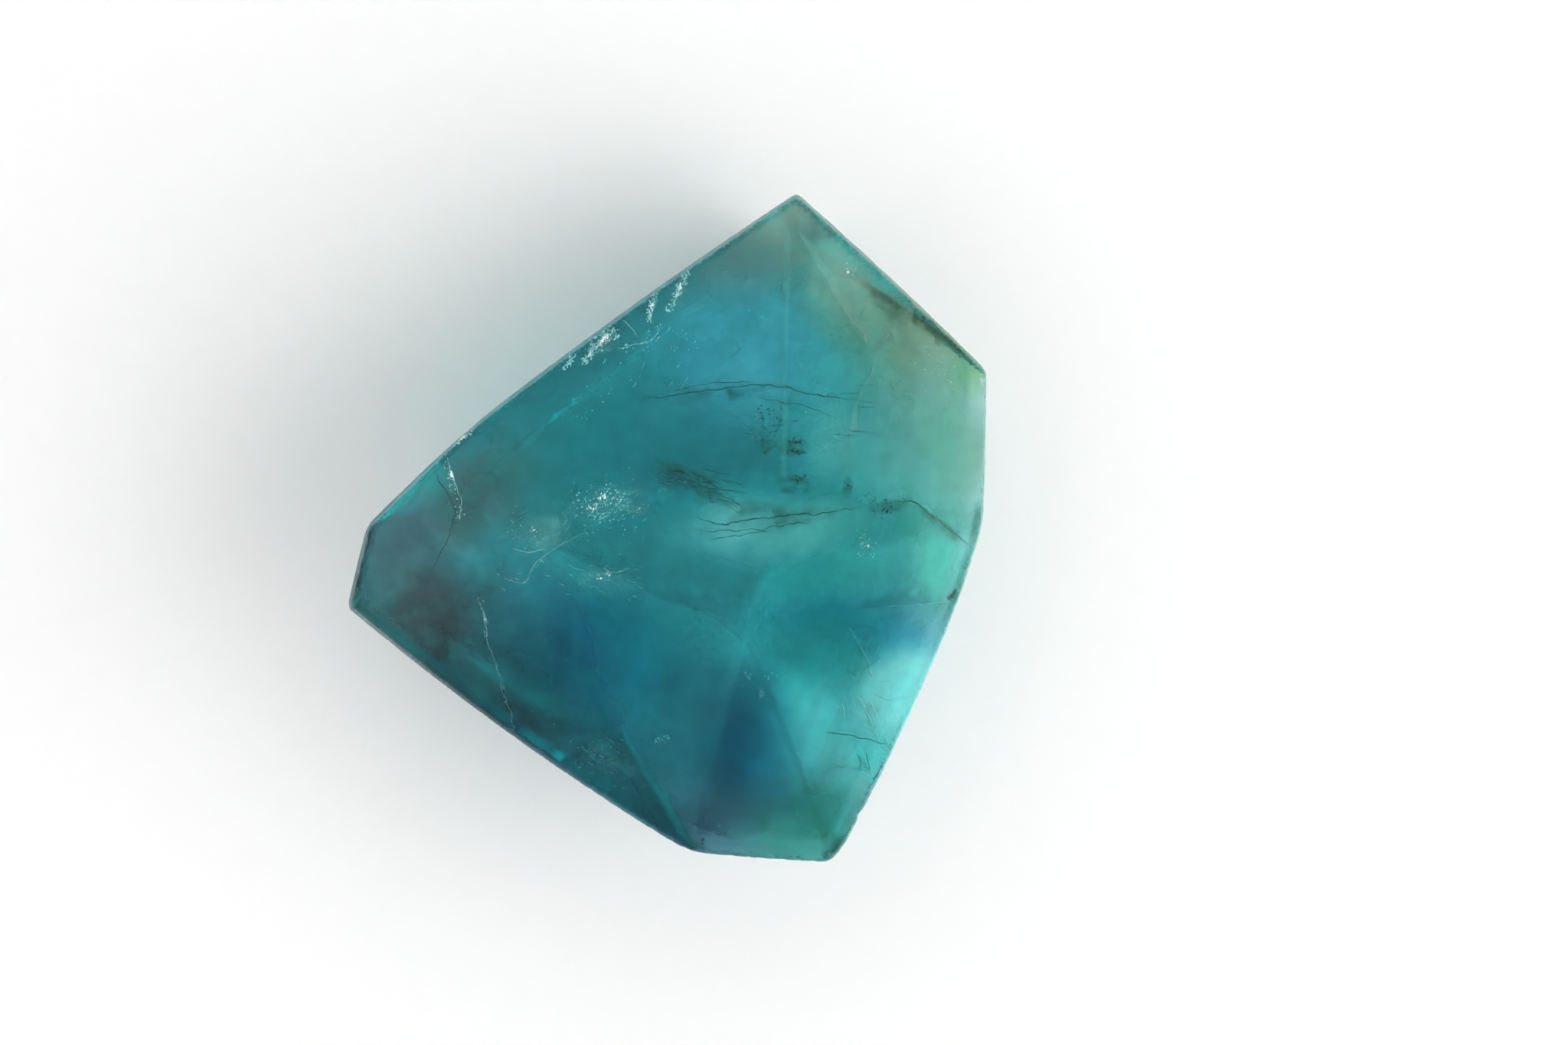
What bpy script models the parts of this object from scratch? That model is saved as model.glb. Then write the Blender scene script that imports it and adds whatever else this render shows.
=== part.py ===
"""Polished fluorite freeform: one solid piece of crystal, cut and polished on
fourteen gently crowned facets, lying on its largest back facet.

Frame: metres, +Z up, origin in the middle of the outline at the level of the
resting facet.  +Y points to the apex of the stone, +X to its thin side.
"""
import bpy
import bmesh
import math
import numpy as np
from mathutils import Vector, Matrix

MM = 0.001

# ---------------------------------------------------------------- dimensions
# The broad front facet is the plane z = FRONT_HEIGHT + FRONT_SLOPE * x (mm).
FRONT_HEIGHT = 13.37
FRONT_SLOPE = -0.15

# Corners of the front facet's outline, plan position in mm, clockwise.
APEX = (8.22, 22.19)
SHOULDER = (20.98, 10.56)
HIP = (19.05, -4.71)
TOE_RIGHT = (11.18, -21.20)
TOE = (10.33, -21.95)
HEEL = (0.97, -21.06)
HEEL_LEFT = (-0.97, -20.29)
TAIL_LOW = (-21.03, -5.26)
TAIL_HIGH = (-19.66, 0.38)
BEND = (-13.48, 6.34)

# Corners of the resting facet, plan position in mm.
KEEL_TOP = (7.43, 18.30)       # under the apex, start of the long ridge
KEEL_TOP_WALL = (7.43, 19.18)  # foot of the upper right wall
KEEL_BEND = (6.66, 0.33)       # where the ridge turns
KEEL_FOOT = (3.82, -6.71)      # where four back facets meet
KEEL_LEFT = (-15.05, 1.76)     # direction of the lower left ridge

# Undercut of the side walls at floor level (mm) and slopes (degrees).
UNDERCUT_LONG_WALL = 2.1
UNDERCUT_BEND_WALL = 2.2
UNDERCUT_TAIL = 3.2
SLOPE_LOWER_LEFT = 41.0
SLOPE_RIM_LEFT = 58.0
SLOPE_HEEL = 50.0
SLOPE_TOE = 45.0

EDGE_RADIUS = 0.32             # polished rounding of every edge (mm)

# Crown radius of each facet (mm): hand polishing never leaves a true plane.
CROWN = {
    "front": 600.0, "long_wall": 360.0, "bend_wall": 400.0, "tail": 400.0,
    "lower_left": 600.0, "rim_left": 260.0, "heel_flank": 400.0,
    "right_low": 260.0, "right_mid": 400.0, "right_high": 500.0,
    "upper_right": 280.0,
}

SAW_ALLOWANCE = 0.3            # left outside the finished facets (mm)
FINE_STEP = 0.3                # spacing of the first fine skin (mm)
KEEP = 0.045                   # share of the fine skin's faces that is kept
CORE = np.array([0.77, -0.87, 5.0])   # a point well inside the stone (mm)
MIDDLE = np.array([-0.057, 0.086, 0.0])  # middle of the finished outline (mm)


# ------------------------------------------------------------------- helpers
def front_point(xy):
    return np.array([xy[0], xy[1], FRONT_HEIGHT + FRONT_SLOPE * xy[0]])


def floor_point(xy):
    return np.array([xy[0], xy[1], 0.0])


def facet(name, a, b, c):
    """A facet plane through three points, its normal turned outward."""
    n = np.cross(b - a, c - a)
    n = n / np.linalg.norm(n)
    if np.dot(n, CORE - a) > 0:
        n = -n
    return {"name": name, "n": n, "p": a, "crown": CROWN.get(name)}


def inward(a, b):
    """Level unit vector square to a-b, pointing into the stone."""
    d = np.array([b[0] - a[0], b[1] - a[1], 0.0])
    d = d / np.linalg.norm(d)
    q = np.array([-d[1], d[0], 0.0])
    return q if np.dot(q, CORE - a) > 0 else -q


def wall(name, a, b, undercut):
    """A wall under the rim a-b whose foot stands in by undercut."""
    m = (a + b) / 2
    foot = m + inward(a, b) * undercut
    foot[2] = 0.0
    return facet(name, a, b, foot)


def sloped(name, a, b, degrees):
    """A facet under the rim a-b at a slope measured from level."""
    m = (a + b) / 2
    return wall(name, a, b, m[2] / math.tan(math.radians(degrees)))


def rising(name, a, b, degrees):
    """A facet that rises outward from the floor line a-b."""
    c = a - inward(a, b) + np.array([0, 0, math.tan(math.radians(degrees))])
    return facet(name, a, b, c)


def facets():
    f = front_point
    apex, shoulder, hip = f(APEX), f(SHOULDER), f(HIP)
    toe_r, toe, heel, heel_l = f(TOE_RIGHT), f(TOE), f(HEEL), f(HEEL_LEFT)
    tail_l, tail_h, bend = f(TAIL_LOW), f(TAIL_HIGH), f(BEND)
    k_top, k_wall = floor_point(KEEL_TOP), floor_point(KEEL_TOP_WALL)
    k_bend, k_foot = floor_point(KEEL_BEND), floor_point(KEEL_FOOT)
    k_left = floor_point(KEEL_LEFT)
    base = {"name": "base", "n": np.array([0.0, 0.0, -1.0]),
            "p": np.zeros(3), "crown": None}
    return [
        facet("front", apex, hip, tail_l),
        base,
        wall("long_wall", apex, bend, UNDERCUT_LONG_WALL),
        wall("bend_wall", bend, tail_h, UNDERCUT_BEND_WALL),
        wall("tail", tail_h, tail_l, UNDERCUT_TAIL),
        rising("lower_left", k_foot, k_left, SLOPE_LOWER_LEFT),
        sloped("rim_left", tail_l, heel_l, SLOPE_RIM_LEFT),
        facet("heel_flank", heel, toe, k_foot),
        facet("right_low", hip, toe_r, k_foot),
        facet("right_mid", k_bend, k_foot, hip),
        facet("right_high", k_top, k_bend, shoulder),
        facet("upper_right", apex, shoulder, k_wall),
        sloped("heel_corner", heel, heel_l, SLOPE_HEEL),
        sloped("toe_corner", toe_r, toe, SLOPE_TOE),
    ]


def cut_block(planes, allowance=0.0):
    """Saw a block along every facet plane, proud of it by the allowance."""
    bm = bmesh.new()
    bmesh.ops.create_cube(bm, size=200.0)
    for f in planes:
        cut = bmesh.ops.bisect_plane(
            bm, geom=bm.verts[:] + bm.edges[:] + bm.faces[:],
            plane_co=Vector(f["p"] + f["n"] * allowance),
            plane_no=Vector(f["n"]),
            clear_outer=True, dist=1e-7)
        rim = [e for e in cut["geom_cut"] if isinstance(e, bmesh.types.BMEdge)]
        if rim:
            bmesh.ops.contextual_create(bm, geom=rim)
    bmesh.ops.recalc_face_normals(bm, faces=bm.faces[:])
    return bm


def set_crowns(planes, bm):
    """Lay the crown sphere of each facet through that facet's corners."""
    for f in planes:
        n = Vector(f["n"])
        for face in bm.faces:
            if face.normal.dot(n) > 0.9999 and \
                    abs((face.verts[0].co - Vector(f["p"])).dot(n)) < 1e-3:
                mid = np.array(face.calc_center_median())
                reach = [np.linalg.norm(np.array(v.co) - mid)
                         for v in face.verts]
                rho = sum(reach) / len(reach)
                if f["crown"]:
                    f["centre"] = mid - f["n"] * math.sqrt(
                        f["crown"] ** 2 - rho ** 2)


def surface(planes, radius, p):
    """Below zero inside the stone, zero on its rounded surface (mm)."""
    total = np.zeros(len(p))
    deepest = np.full(len(p), -1e9)
    for f in planes:
        if "centre" in f:
            d = np.linalg.norm(p - f["centre"], axis=1) - f["crown"]
        else:
            d = (p - f["p"]) @ f["n"]
        deepest = np.maximum(deepest, d)
        total += np.maximum(0.0, d + radius) ** 2
    return np.where(total > 0, np.sqrt(total) - radius, deepest)


def settle(planes, radius, points):
    """Slide points along rays from the core onto the rounded surface."""
    ray = points - CORE
    length = np.linalg.norm(ray, axis=1)
    ray = ray / length[:, None]
    low = length * 0.6
    high = length * 1.2 + 1.0
    for _ in range(44):
        mid = (low + high) / 2
        outside = surface(planes, radius, CORE + ray * mid[:, None]) > 0
        high = np.where(outside, mid, high)
        low = np.where(outside, low, mid)
    return CORE + ray * ((low + high) / 2)[:, None]


def evaluated(ob):
    """The object's mesh with its modifiers applied, on its own."""
    graph = bpy.context.evaluated_depsgraph_get()
    graph.update()
    return bpy.data.meshes.new_from_object(ob.evaluated_get(graph))


def place(mesh, points):
    mesh.vertices.foreach_set("co", points.astype(np.float32).ravel())
    mesh.update()


def points_of(mesh):
    co = np.empty(len(mesh.vertices) * 3, dtype=np.float32)
    mesh.vertices.foreach_get("co", co)
    return co.reshape(-1, 3).astype(float)


def build_stone():
    planes = facets()
    bm = cut_block(planes)
    set_crowns(planes, bm)
    bm.free()
    bm = cut_block(planes, SAW_ALLOWANCE)
    rough = bpy.data.meshes.new("rough")
    bm.to_mesh(rough)
    bm.free()

    ob = bpy.data.objects.new("rough", rough)
    bpy.context.collection.objects.link(ob)
    for _ in range(2):
        skin = ob.modifiers.new("Skin", 'REMESH')
        skin.mode = 'VOXEL'
        skin.voxel_size = FINE_STEP
        skin.adaptivity = 0.0
        fine = evaluated(ob)
        ob.modifiers.clear()
        place(fine, settle(planes, EDGE_RADIUS, points_of(fine)))
        ob.data = fine

    thin = ob.modifiers.new("Thin", 'DECIMATE')
    thin.decimate_type = 'COLLAPSE'
    thin.ratio = KEEP
    thin.use_collapse_triangulate = True
    me = evaluated(ob)
    bpy.data.objects.remove(ob)

    co = settle(planes, EDGE_RADIUS, points_of(me))
    co[np.abs(co[:, 2]) < 2e-4, 2] = 0.0
    place(me, (co - MIDDLE) * MM)
    me.name = "fluorite"
    return me


# Chips along the rim: plan position, size (mm), stretch along the rim, turn.
CHIPS = [
    ((-13.20, 6.62), 0.34, 1.5, 35.0),
    ((-12.62, 7.05), 0.26, 1.3, 36.0),
    ((-13.95, 6.02), 0.24, 1.2, 42.0),
    ((20.93, 9.55), 0.27, 1.2, -84.0),
    ((20.83, 9.02), 0.24, 1.2, -84.0),
    ((12.44, -18.72), 0.26, 2.0, 62.0),
    ((18.60, 12.88), 0.24, 1.6, -42.0),
]


def chip_cutter():
    """Small shell-shaped bites, one closed body each, set on the rim."""
    bm = bmesh.new()
    for k, (xy, size, stretch, turn) in enumerate(CHIPS):
        z = FRONT_HEIGHT + FRONT_SLOPE * xy[0]
        made = bmesh.ops.create_icosphere(bm, subdivisions=2, radius=1.0)
        at = Vector((xy[0] - MIDDLE[0], xy[1] - MIDDLE[1], z)) * MM
        shape = (Matrix.Translation(at)
                 @ Matrix.Rotation(math.radians(turn), 4, 'Z')
                 @ Matrix.Rotation(0.35 + 0.4 * k, 4, 'X')
                 @ Matrix.Diagonal((size * stretch * MM, size * MM,
                                    size * 0.9 * MM, 1.0)))
        bmesh.ops.transform(bm, matrix=shape, verts=made["verts"])
    me = bpy.data.meshes.new("chips")
    bm.to_mesh(me)
    bm.free()
    ob = bpy.data.objects.new("chips", me)
    bpy.context.collection.objects.link(ob)
    ob.display_type = 'WIRE'
    ob.hide_render = True
    return ob


def material():
    m = bpy.data.materials.new("fluorite")
    m.use_nodes = True
    b = m.node_tree.nodes["Principled BSDF"]
    b.inputs["Base Color"].default_value = (0.10, 0.42, 0.46, 1.0)
    b.inputs["Roughness"].default_value = 0.04
    b.inputs["Metallic"].default_value = 0.0
    b.inputs["IOR"].default_value = 1.434
    b.inputs["Transmission Weight"].default_value = 0.9
    return m


def main():
    for ob in list(bpy.data.objects):
        bpy.data.objects.remove(ob)
    me = build_stone()
    me.materials.append(material())
    me.shade_smooth()
    me.set_sharp_from_angle(angle=math.radians(25.0))
    stone = bpy.data.objects.new("fluorite", me)
    bpy.context.collection.objects.link(stone)
    cut = stone.modifiers.new("Chips", 'BOOLEAN')
    cut.operation = 'DIFFERENCE'
    cut.solver = 'EXACT'
    cut.object = chip_cutter()
    weld = stone.modifiers.new("Weld", 'WELD')
    weld.merge_threshold = 0.000004


main()
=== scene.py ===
"""Looks of the polished fluorite freeform.

The crystal is one see-through shell with soft colour zones, and everything
sealed in it (clouds, fractures, flecks, needles, specks) is its own mesh.
Some zones, clouds and films are painted shading: painted shade on the lower
left and bottom, painted light at the mint and aqua places on the right.
Lengths below are in millimetres unless a name says otherwise.
"""
import bpy
import bmesh
import math
import random
import numpy as np
from mathutils import Vector, Matrix, noise


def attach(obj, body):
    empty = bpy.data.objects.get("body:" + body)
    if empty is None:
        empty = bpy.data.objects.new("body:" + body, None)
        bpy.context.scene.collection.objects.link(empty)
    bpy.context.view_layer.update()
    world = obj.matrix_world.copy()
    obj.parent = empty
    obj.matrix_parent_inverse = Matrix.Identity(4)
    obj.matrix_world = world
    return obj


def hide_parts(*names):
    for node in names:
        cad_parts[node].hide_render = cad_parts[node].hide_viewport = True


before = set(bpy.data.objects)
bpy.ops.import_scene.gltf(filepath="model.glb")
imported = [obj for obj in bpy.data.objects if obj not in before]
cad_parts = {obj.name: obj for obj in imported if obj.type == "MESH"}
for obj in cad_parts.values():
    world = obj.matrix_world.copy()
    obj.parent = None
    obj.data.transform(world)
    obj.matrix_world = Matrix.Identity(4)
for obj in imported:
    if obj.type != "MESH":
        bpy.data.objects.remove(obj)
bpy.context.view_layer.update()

MM = 0.001

# ---------------------------------------------------------------------------
# The stone's facets, the same planes and crowns as the CAD solid
# ---------------------------------------------------------------------------
FRONT_HEIGHT = 13.37
FRONT_SLOPE = -0.15
APEX = (8.22, 22.19)
SHOULDER = (20.98, 10.56)
HIP = (19.05, -4.71)
TOE_RIGHT = (11.18, -21.20)
TOE = (10.33, -21.95)
HEEL = (0.97, -21.06)
HEEL_LEFT = (-0.97, -20.29)
TAIL_LOW = (-21.03, -5.26)
TAIL_HIGH = (-19.66, 0.38)
BEND = (-13.48, 6.34)
KEEL_TOP = (7.43, 18.30)
KEEL_TOP_WALL = (7.43, 19.18)
KEEL_BEND = (6.66, 0.33)
KEEL_FOOT = (3.82, -6.71)
KEEL_LEFT = (-15.05, 1.76)
UNDERCUT_LONG_WALL = 2.1
UNDERCUT_BEND_WALL = 2.2
UNDERCUT_TAIL = 3.2
SLOPE_LOWER_LEFT = 41.0
SLOPE_RIM_LEFT = 58.0
SLOPE_HEEL = 50.0
SLOPE_TOE = 45.0
EDGE_RADIUS = 0.32
CROWN = {
    "front": 600.0, "long_wall": 360.0, "bend_wall": 400.0, "tail": 400.0,
    "lower_left": 600.0, "rim_left": 260.0, "heel_flank": 400.0,
    "right_low": 260.0, "right_mid": 400.0, "right_high": 500.0,
    "upper_right": 280.0,
}
CORE = np.array([0.77, -0.87, 5.0])
MIDDLE = np.array([-0.057, 0.086, 0.0])
SAW_ALLOWANCE = 0.3
# bites on the rim: place on the front, size in mm, stretch, turn in degrees
CHIPS = [
    ((-13.20, 6.62), 0.34, 1.5, 35.0),
    ((-12.62, 7.05), 0.26, 1.3, 36.0),
    ((-13.95, 6.02), 0.24, 1.2, 42.0),
    ((20.93, 9.55), 0.27, 1.2, -84.0),
    ((20.83, 9.02), 0.24, 1.2, -84.0),
    ((12.44, -18.72), 0.26, 2.0, 62.0),
    ((18.60, 12.88), 0.24, 1.6, -42.0),
]
SKIN_STEP = 0.26               # spacing of the visible skin
SKIN_INSET = 0.012             # keeps the skin inside the CAD box


def front_point(xy):
    return np.array([xy[0], xy[1], FRONT_HEIGHT + FRONT_SLOPE * xy[0]])


def floor_point(xy):
    return np.array([xy[0], xy[1], 0.0])


def facet(name, a, b, c):
    n = np.cross(b - a, c - a)
    n = n / np.linalg.norm(n)
    if np.dot(n, CORE - a) > 0:
        n = -n
    return {"name": name, "n": n, "p": a, "crown": CROWN.get(name)}


def inward(a, b):
    d = np.array([b[0] - a[0], b[1] - a[1], 0.0])
    d = d / np.linalg.norm(d)
    q = np.array([-d[1], d[0], 0.0])
    return q if np.dot(q, CORE - a) > 0 else -q


def wall(name, a, b, undercut):
    m = (a + b) / 2
    foot = m + inward(a, b) * undercut
    foot[2] = 0.0
    return facet(name, a, b, foot)


def sloped(name, a, b, degrees):
    m = (a + b) / 2
    return wall(name, a, b, m[2] / math.tan(math.radians(degrees)))


def rising(name, a, b, degrees):
    c = a - inward(a, b) + np.array([0, 0, math.tan(math.radians(degrees))])
    return facet(name, a, b, c)


def facets():
    f = front_point
    apex, shoulder, hip = f(APEX), f(SHOULDER), f(HIP)
    toe_r, toe, heel, heel_l = f(TOE_RIGHT), f(TOE), f(HEEL), f(HEEL_LEFT)
    tail_l, tail_h, bend = f(TAIL_LOW), f(TAIL_HIGH), f(BEND)
    k_top, k_wall = floor_point(KEEL_TOP), floor_point(KEEL_TOP_WALL)
    k_bend, k_foot = floor_point(KEEL_BEND), floor_point(KEEL_FOOT)
    k_left = floor_point(KEEL_LEFT)
    base = {"name": "base", "n": np.array([0.0, 0.0, -1.0]),
            "p": np.zeros(3), "crown": None}
    return [
        facet("front", apex, hip, tail_l),
        base,
        wall("long_wall", apex, bend, UNDERCUT_LONG_WALL),
        wall("bend_wall", bend, tail_h, UNDERCUT_BEND_WALL),
        wall("tail", tail_h, tail_l, UNDERCUT_TAIL),
        rising("lower_left", k_foot, k_left, SLOPE_LOWER_LEFT),
        sloped("rim_left", tail_l, heel_l, SLOPE_RIM_LEFT),
        facet("heel_flank", heel, toe, k_foot),
        facet("right_low", hip, toe_r, k_foot),
        facet("right_mid", k_bend, k_foot, hip),
        facet("right_high", k_top, k_bend, shoulder),
        facet("upper_right", apex, shoulder, k_wall),
        sloped("heel_corner", heel, heel_l, SLOPE_HEEL),
        sloped("toe_corner", toe_r, toe, SLOPE_TOE),
    ]


def cut_block(planes, allowance=0.0):
    bm = bmesh.new()
    bmesh.ops.create_cube(bm, size=200.0)
    for f in planes:
        cut = bmesh.ops.bisect_plane(
            bm, geom=bm.verts[:] + bm.edges[:] + bm.faces[:],
            plane_co=Vector(f["p"] + f["n"] * allowance),
            plane_no=Vector(f["n"]),
            clear_outer=True, dist=1e-7)
        rim = [e for e in cut["geom_cut"] if isinstance(e, bmesh.types.BMEdge)]
        if rim:
            bmesh.ops.contextual_create(bm, geom=rim)
    bmesh.ops.recalc_face_normals(bm, faces=bm.faces[:])
    return bm


def set_crowns(planes, bm):
    for f in planes:
        n = Vector(f["n"])
        for face in bm.faces:
            if face.normal.dot(n) > 0.9999 and \
                    abs((face.verts[0].co - Vector(f["p"])).dot(n)) < 1e-3:
                mid = np.array(face.calc_center_median())
                reach = [np.linalg.norm(np.array(v.co) - mid)
                         for v in face.verts]
                rho = sum(reach) / len(reach)
                if f["crown"]:
                    f["centre"] = mid - f["n"] * math.sqrt(
                        f["crown"] ** 2 - rho ** 2)


def facet_depths(p):
    """Signed distance of each point to each facet, one row per facet."""
    rows = []
    for f in PLANES:
        if "centre" in f:
            rows.append(np.linalg.norm(p - f["centre"], axis=1) - f["crown"])
        else:
            rows.append((p - f["p"]) @ f["n"])
    return np.array(rows)


def surface(p, radius=EDGE_RADIUS):
    d = facet_depths(p)
    total = (np.maximum(0.0, d + radius) ** 2).sum(axis=0)
    return np.where(total > 0, np.sqrt(total) - radius, d.max(axis=0))


def surface_normal(p):
    h = 1e-3
    g = np.zeros_like(p)
    for k in range(3):
        d = np.zeros(3)
        d[k] = h
        g[:, k] = surface(p + d) - surface(p - d)
    return g / np.linalg.norm(g, axis=1)[:, None]


def settle(points):
    ray = points - CORE
    length = np.linalg.norm(ray, axis=1)
    ray = ray / length[:, None]
    low = length * 0.6
    high = length * 1.2 + 1.0
    for _ in range(40):
        mid = (low + high) / 2
        outside = surface(CORE + ray * mid[:, None]) > 0
        high = np.where(outside, mid, high)
        low = np.where(outside, low, mid)
    return CORE + ray * ((low + high) / 2)[:, None]


PLANES = facets()
_block = cut_block(PLANES)
set_crowns(PLANES, _block)
_block.free()


def depth_in(p_mm):
    """How deep a point of the part's frame lies inside the stone."""
    return -float(surface(np.array([p_mm]) + MIDDLE)[0])


# ---------------------------------------------------------------------------
# Small helpers
# ---------------------------------------------------------------------------
def link(ob):
    bpy.context.scene.collection.objects.link(ob)
    return ob


def evaluated(ob):
    graph = bpy.context.evaluated_depsgraph_get()
    graph.update()
    return bpy.data.meshes.new_from_object(ob.evaluated_get(graph))


def points_of(mesh):
    co = np.empty(len(mesh.vertices) * 3, dtype=np.float32)
    mesh.vertices.foreach_get("co", co)
    return co.reshape(-1, 3).astype(float)


def place(mesh, points):
    mesh.vertices.foreach_set("co", points.astype(np.float32).ravel())
    mesh.update()


def fbm(p, scale, seed=0.0, octaves=3):
    """Smooth noise of a point in mm, about -1..1."""
    q = Vector((p[0] * scale + seed, p[1] * scale - seed * 0.7,
                p[2] * scale + seed * 1.3))
    return noise.fractal(q, 1.0, 2.0, octaves, noise_basis='PERLIN_ORIGINAL')


# ---------------------------------------------------------------------------
# Camera: straight above the stone, as in the photograph
# ---------------------------------------------------------------------------
EYE = (7.427, 0.369, 354.0)
PITCH = 0.05 / 341.0           # mm per pixel and mm of distance


def on_front(px, py):
    """The point of the front facet that is seen at a pixel (2048 x 1365)."""
    z = 13.3
    for _ in range(6):
        x = EYE[0] + (px - 1024) * PITCH * (EYE[2] - z)
        z = FRONT_HEIGHT + 0.009 + FRONT_SLOPE * x
    y = EYE[1] - (py - 682.5) * PITCH * (EYE[2] - z)
    return np.array([x, y, z])


def inside(px, py, depth):
    """The point seen at a pixel through the front, depth mm under it."""
    p = on_front(px, py)
    sx = (px - 1024) * PITCH
    sy = -(py - 682.5) * PITCH
    return p + np.array([depth * (sx * 0.697 - 0.0454), depth * sy * 0.697,
                         -depth])


def make_camera():
    cam = bpy.data.cameras.new("camera")
    cam.lens = 120.0
    cam.sensor_width = 36.0
    cam.sensor_fit = 'HORIZONTAL'
    cam.clip_start = 0.01
    cam.clip_end = 10.0
    ob = link(bpy.data.objects.new("camera", cam))
    ob.location = Vector(EYE) * MM
    bpy.context.scene.camera = ob


# ---------------------------------------------------------------------------
# Nodes
# ---------------------------------------------------------------------------
class Nodes:
    """A short way to write node trees."""

    def __init__(self, name):
        self.material = bpy.data.materials.new(name)
        self.material.use_nodes = True
        self.tree = self.material.node_tree
        self.tree.nodes.clear()
        self.out = self.tree.nodes.new("ShaderNodeOutputMaterial")

    def add(self, kind, **settings):
        node = self.tree.nodes.new("ShaderNode" + kind)
        for key, value in settings.items():
            setattr(node, key, value)
        return node

    def set(self, socket, value):
        if isinstance(value, bpy.types.NodeSocket):
            self.tree.links.new(value, socket)
        elif isinstance(value, (tuple, list)) and len(value) == 3 \
                and socket.type == 'RGBA':
            socket.default_value = (*value, 1.0)
        else:
            socket.default_value = value

    def math(self, op, a, b=0.0, clamp=False):
        n = self.add("Math", operation=op, use_clamp=clamp)
        self.set(n.inputs[0], a)
        self.set(n.inputs[1], b)
        return n.outputs[0]

    def vmath(self, op, a, b=(0.0, 0.0, 0.0), scale=None):
        n = self.add("VectorMath", operation=op)
        self.set(n.inputs[0], a)
        if op != 'LENGTH' and op != 'SCALE':
            self.set(n.inputs[1], b)
        if scale is not None:
            self.set(n.inputs["Scale"], scale)
        return n.outputs["Value"] if op in ('LENGTH', 'DISTANCE',
                                            'DOT_PRODUCT') else n.outputs[0]

    def ramp(self, value, low, high, out_low=0.0, out_high=1.0,
             smooth=True):
        n = self.add("MapRange")
        n.interpolation_type = 'SMOOTHSTEP' if smooth else 'LINEAR'
        self.set(n.inputs["Value"], value)
        n.inputs["From Min"].default_value = low
        n.inputs["From Max"].default_value = high
        n.inputs["To Min"].default_value = out_low
        n.inputs["To Max"].default_value = out_high
        return n.outputs["Result"]

    def mix(self, factor, a, b, blend='MIX'):
        n = self.add("Mix", data_type='RGBA', blend_type=blend)
        n.clamp_factor = True
        self.set(n.inputs[0], factor)
        self.set(n.inputs[6], a)
        self.set(n.inputs[7], b)
        return n.outputs[2]

    def position(self):
        """Object coordinates in millimetres."""
        c = self.add("TexCoord")
        return self.vmath('SCALE', c.outputs["Object"], scale=1000.0)

    def grey(self, value):
        n = self.add("CombineColor")
        for k in range(3):
            self.set(n.inputs[k], value)
        return n.outputs[0]

    def lerp(self, factor, a, b):
        n = self.add("Mix", data_type='FLOAT')
        n.clamp_factor = True
        self.set(n.inputs[0], factor)
        self.set(n.inputs[2], a)
        self.set(n.inputs[3], b)
        return n.outputs[0]

    def noise(self, vector, scale, detail=3.0, rough=0.5, distortion=0.0,
              colour=False):
        n = self.add("TexNoise")
        n.noise_dimensions = '3D'
        self.set(n.inputs["Vector"], vector)
        n.inputs["Scale"].default_value = scale
        n.inputs["Detail"].default_value = detail
        n.inputs["Roughness"].default_value = rough
        n.inputs["Distortion"].default_value = distortion
        return n.outputs["Color" if colour else 0]

    def principled(self, **values):
        b = self.add("BsdfPrincipled")
        for key, value in values.items():
            self.set(b.inputs[key.replace("_", " ")], value)
        self.tree.links.new(b.outputs[0], self.out.inputs["Surface"])
        return b


# ---------------------------------------------------------------------------
# The crystal
# ---------------------------------------------------------------------------
def make_skin():
    bm = cut_block(PLANES, SAW_ALLOWANCE)
    me = bpy.data.meshes.new("rough")
    bm.to_mesh(me)
    bm.free()
    ob = link(bpy.data.objects.new("rough", me))
    for _ in range(2):
        skin = ob.modifiers.new("Skin", 'REMESH')
        skin.mode = 'VOXEL'
        skin.voxel_size = SKIN_STEP
        skin.adaptivity = 0.0
        fine = evaluated(ob)
        ob.modifiers.clear()
        place(fine, settle(points_of(fine)))
        ob.data = fine
    me = ob.data
    co = points_of(me)
    normal = surface_normal(co)
    place(me, (co - normal * SKIN_INSET - MIDDLE) * MM)
    bites = chip_bites()
    cut = ob.modifiers.new("Chips", 'BOOLEAN')
    cut.operation = 'DIFFERENCE'
    cut.solver = 'EXACT'
    cut.object = bites
    chipped = evaluated(ob)
    bpy.data.objects.remove(ob)
    bpy.data.objects.remove(bites)
    return chipped


def chip_bites():
    """Small shell-shaped bites set on the rim, the same as in the CAD."""
    bm = bmesh.new()
    for k, (xy, size, stretch, turn) in enumerate(CHIPS):
        z = FRONT_HEIGHT + FRONT_SLOPE * xy[0]
        made = bmesh.ops.create_icosphere(bm, subdivisions=2, radius=1.0)
        at = Vector((xy[0] - MIDDLE[0], xy[1] - MIDDLE[1], z)) * MM
        shape = (Matrix.Translation(at)
                 @ Matrix.Rotation(math.radians(turn), 4, 'Z')
                 @ Matrix.Rotation(0.35 + 0.4 * k, 4, 'X')
                 @ Matrix.Diagonal((size * stretch * MM, size * MM,
                                    size * 0.9 * MM, 1.0)))
        bmesh.ops.transform(bm, matrix=shape, verts=made["verts"])
    me = bpy.data.meshes.new("bites")
    bm.to_mesh(me)
    bm.free()
    return link(bpy.data.objects.new("bites", me))


def number_per_point(me, name, values):
    att = me.attributes.new(name, 'FLOAT', 'POINT')
    att.data.foreach_set("value", values.astype(np.float32))


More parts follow.
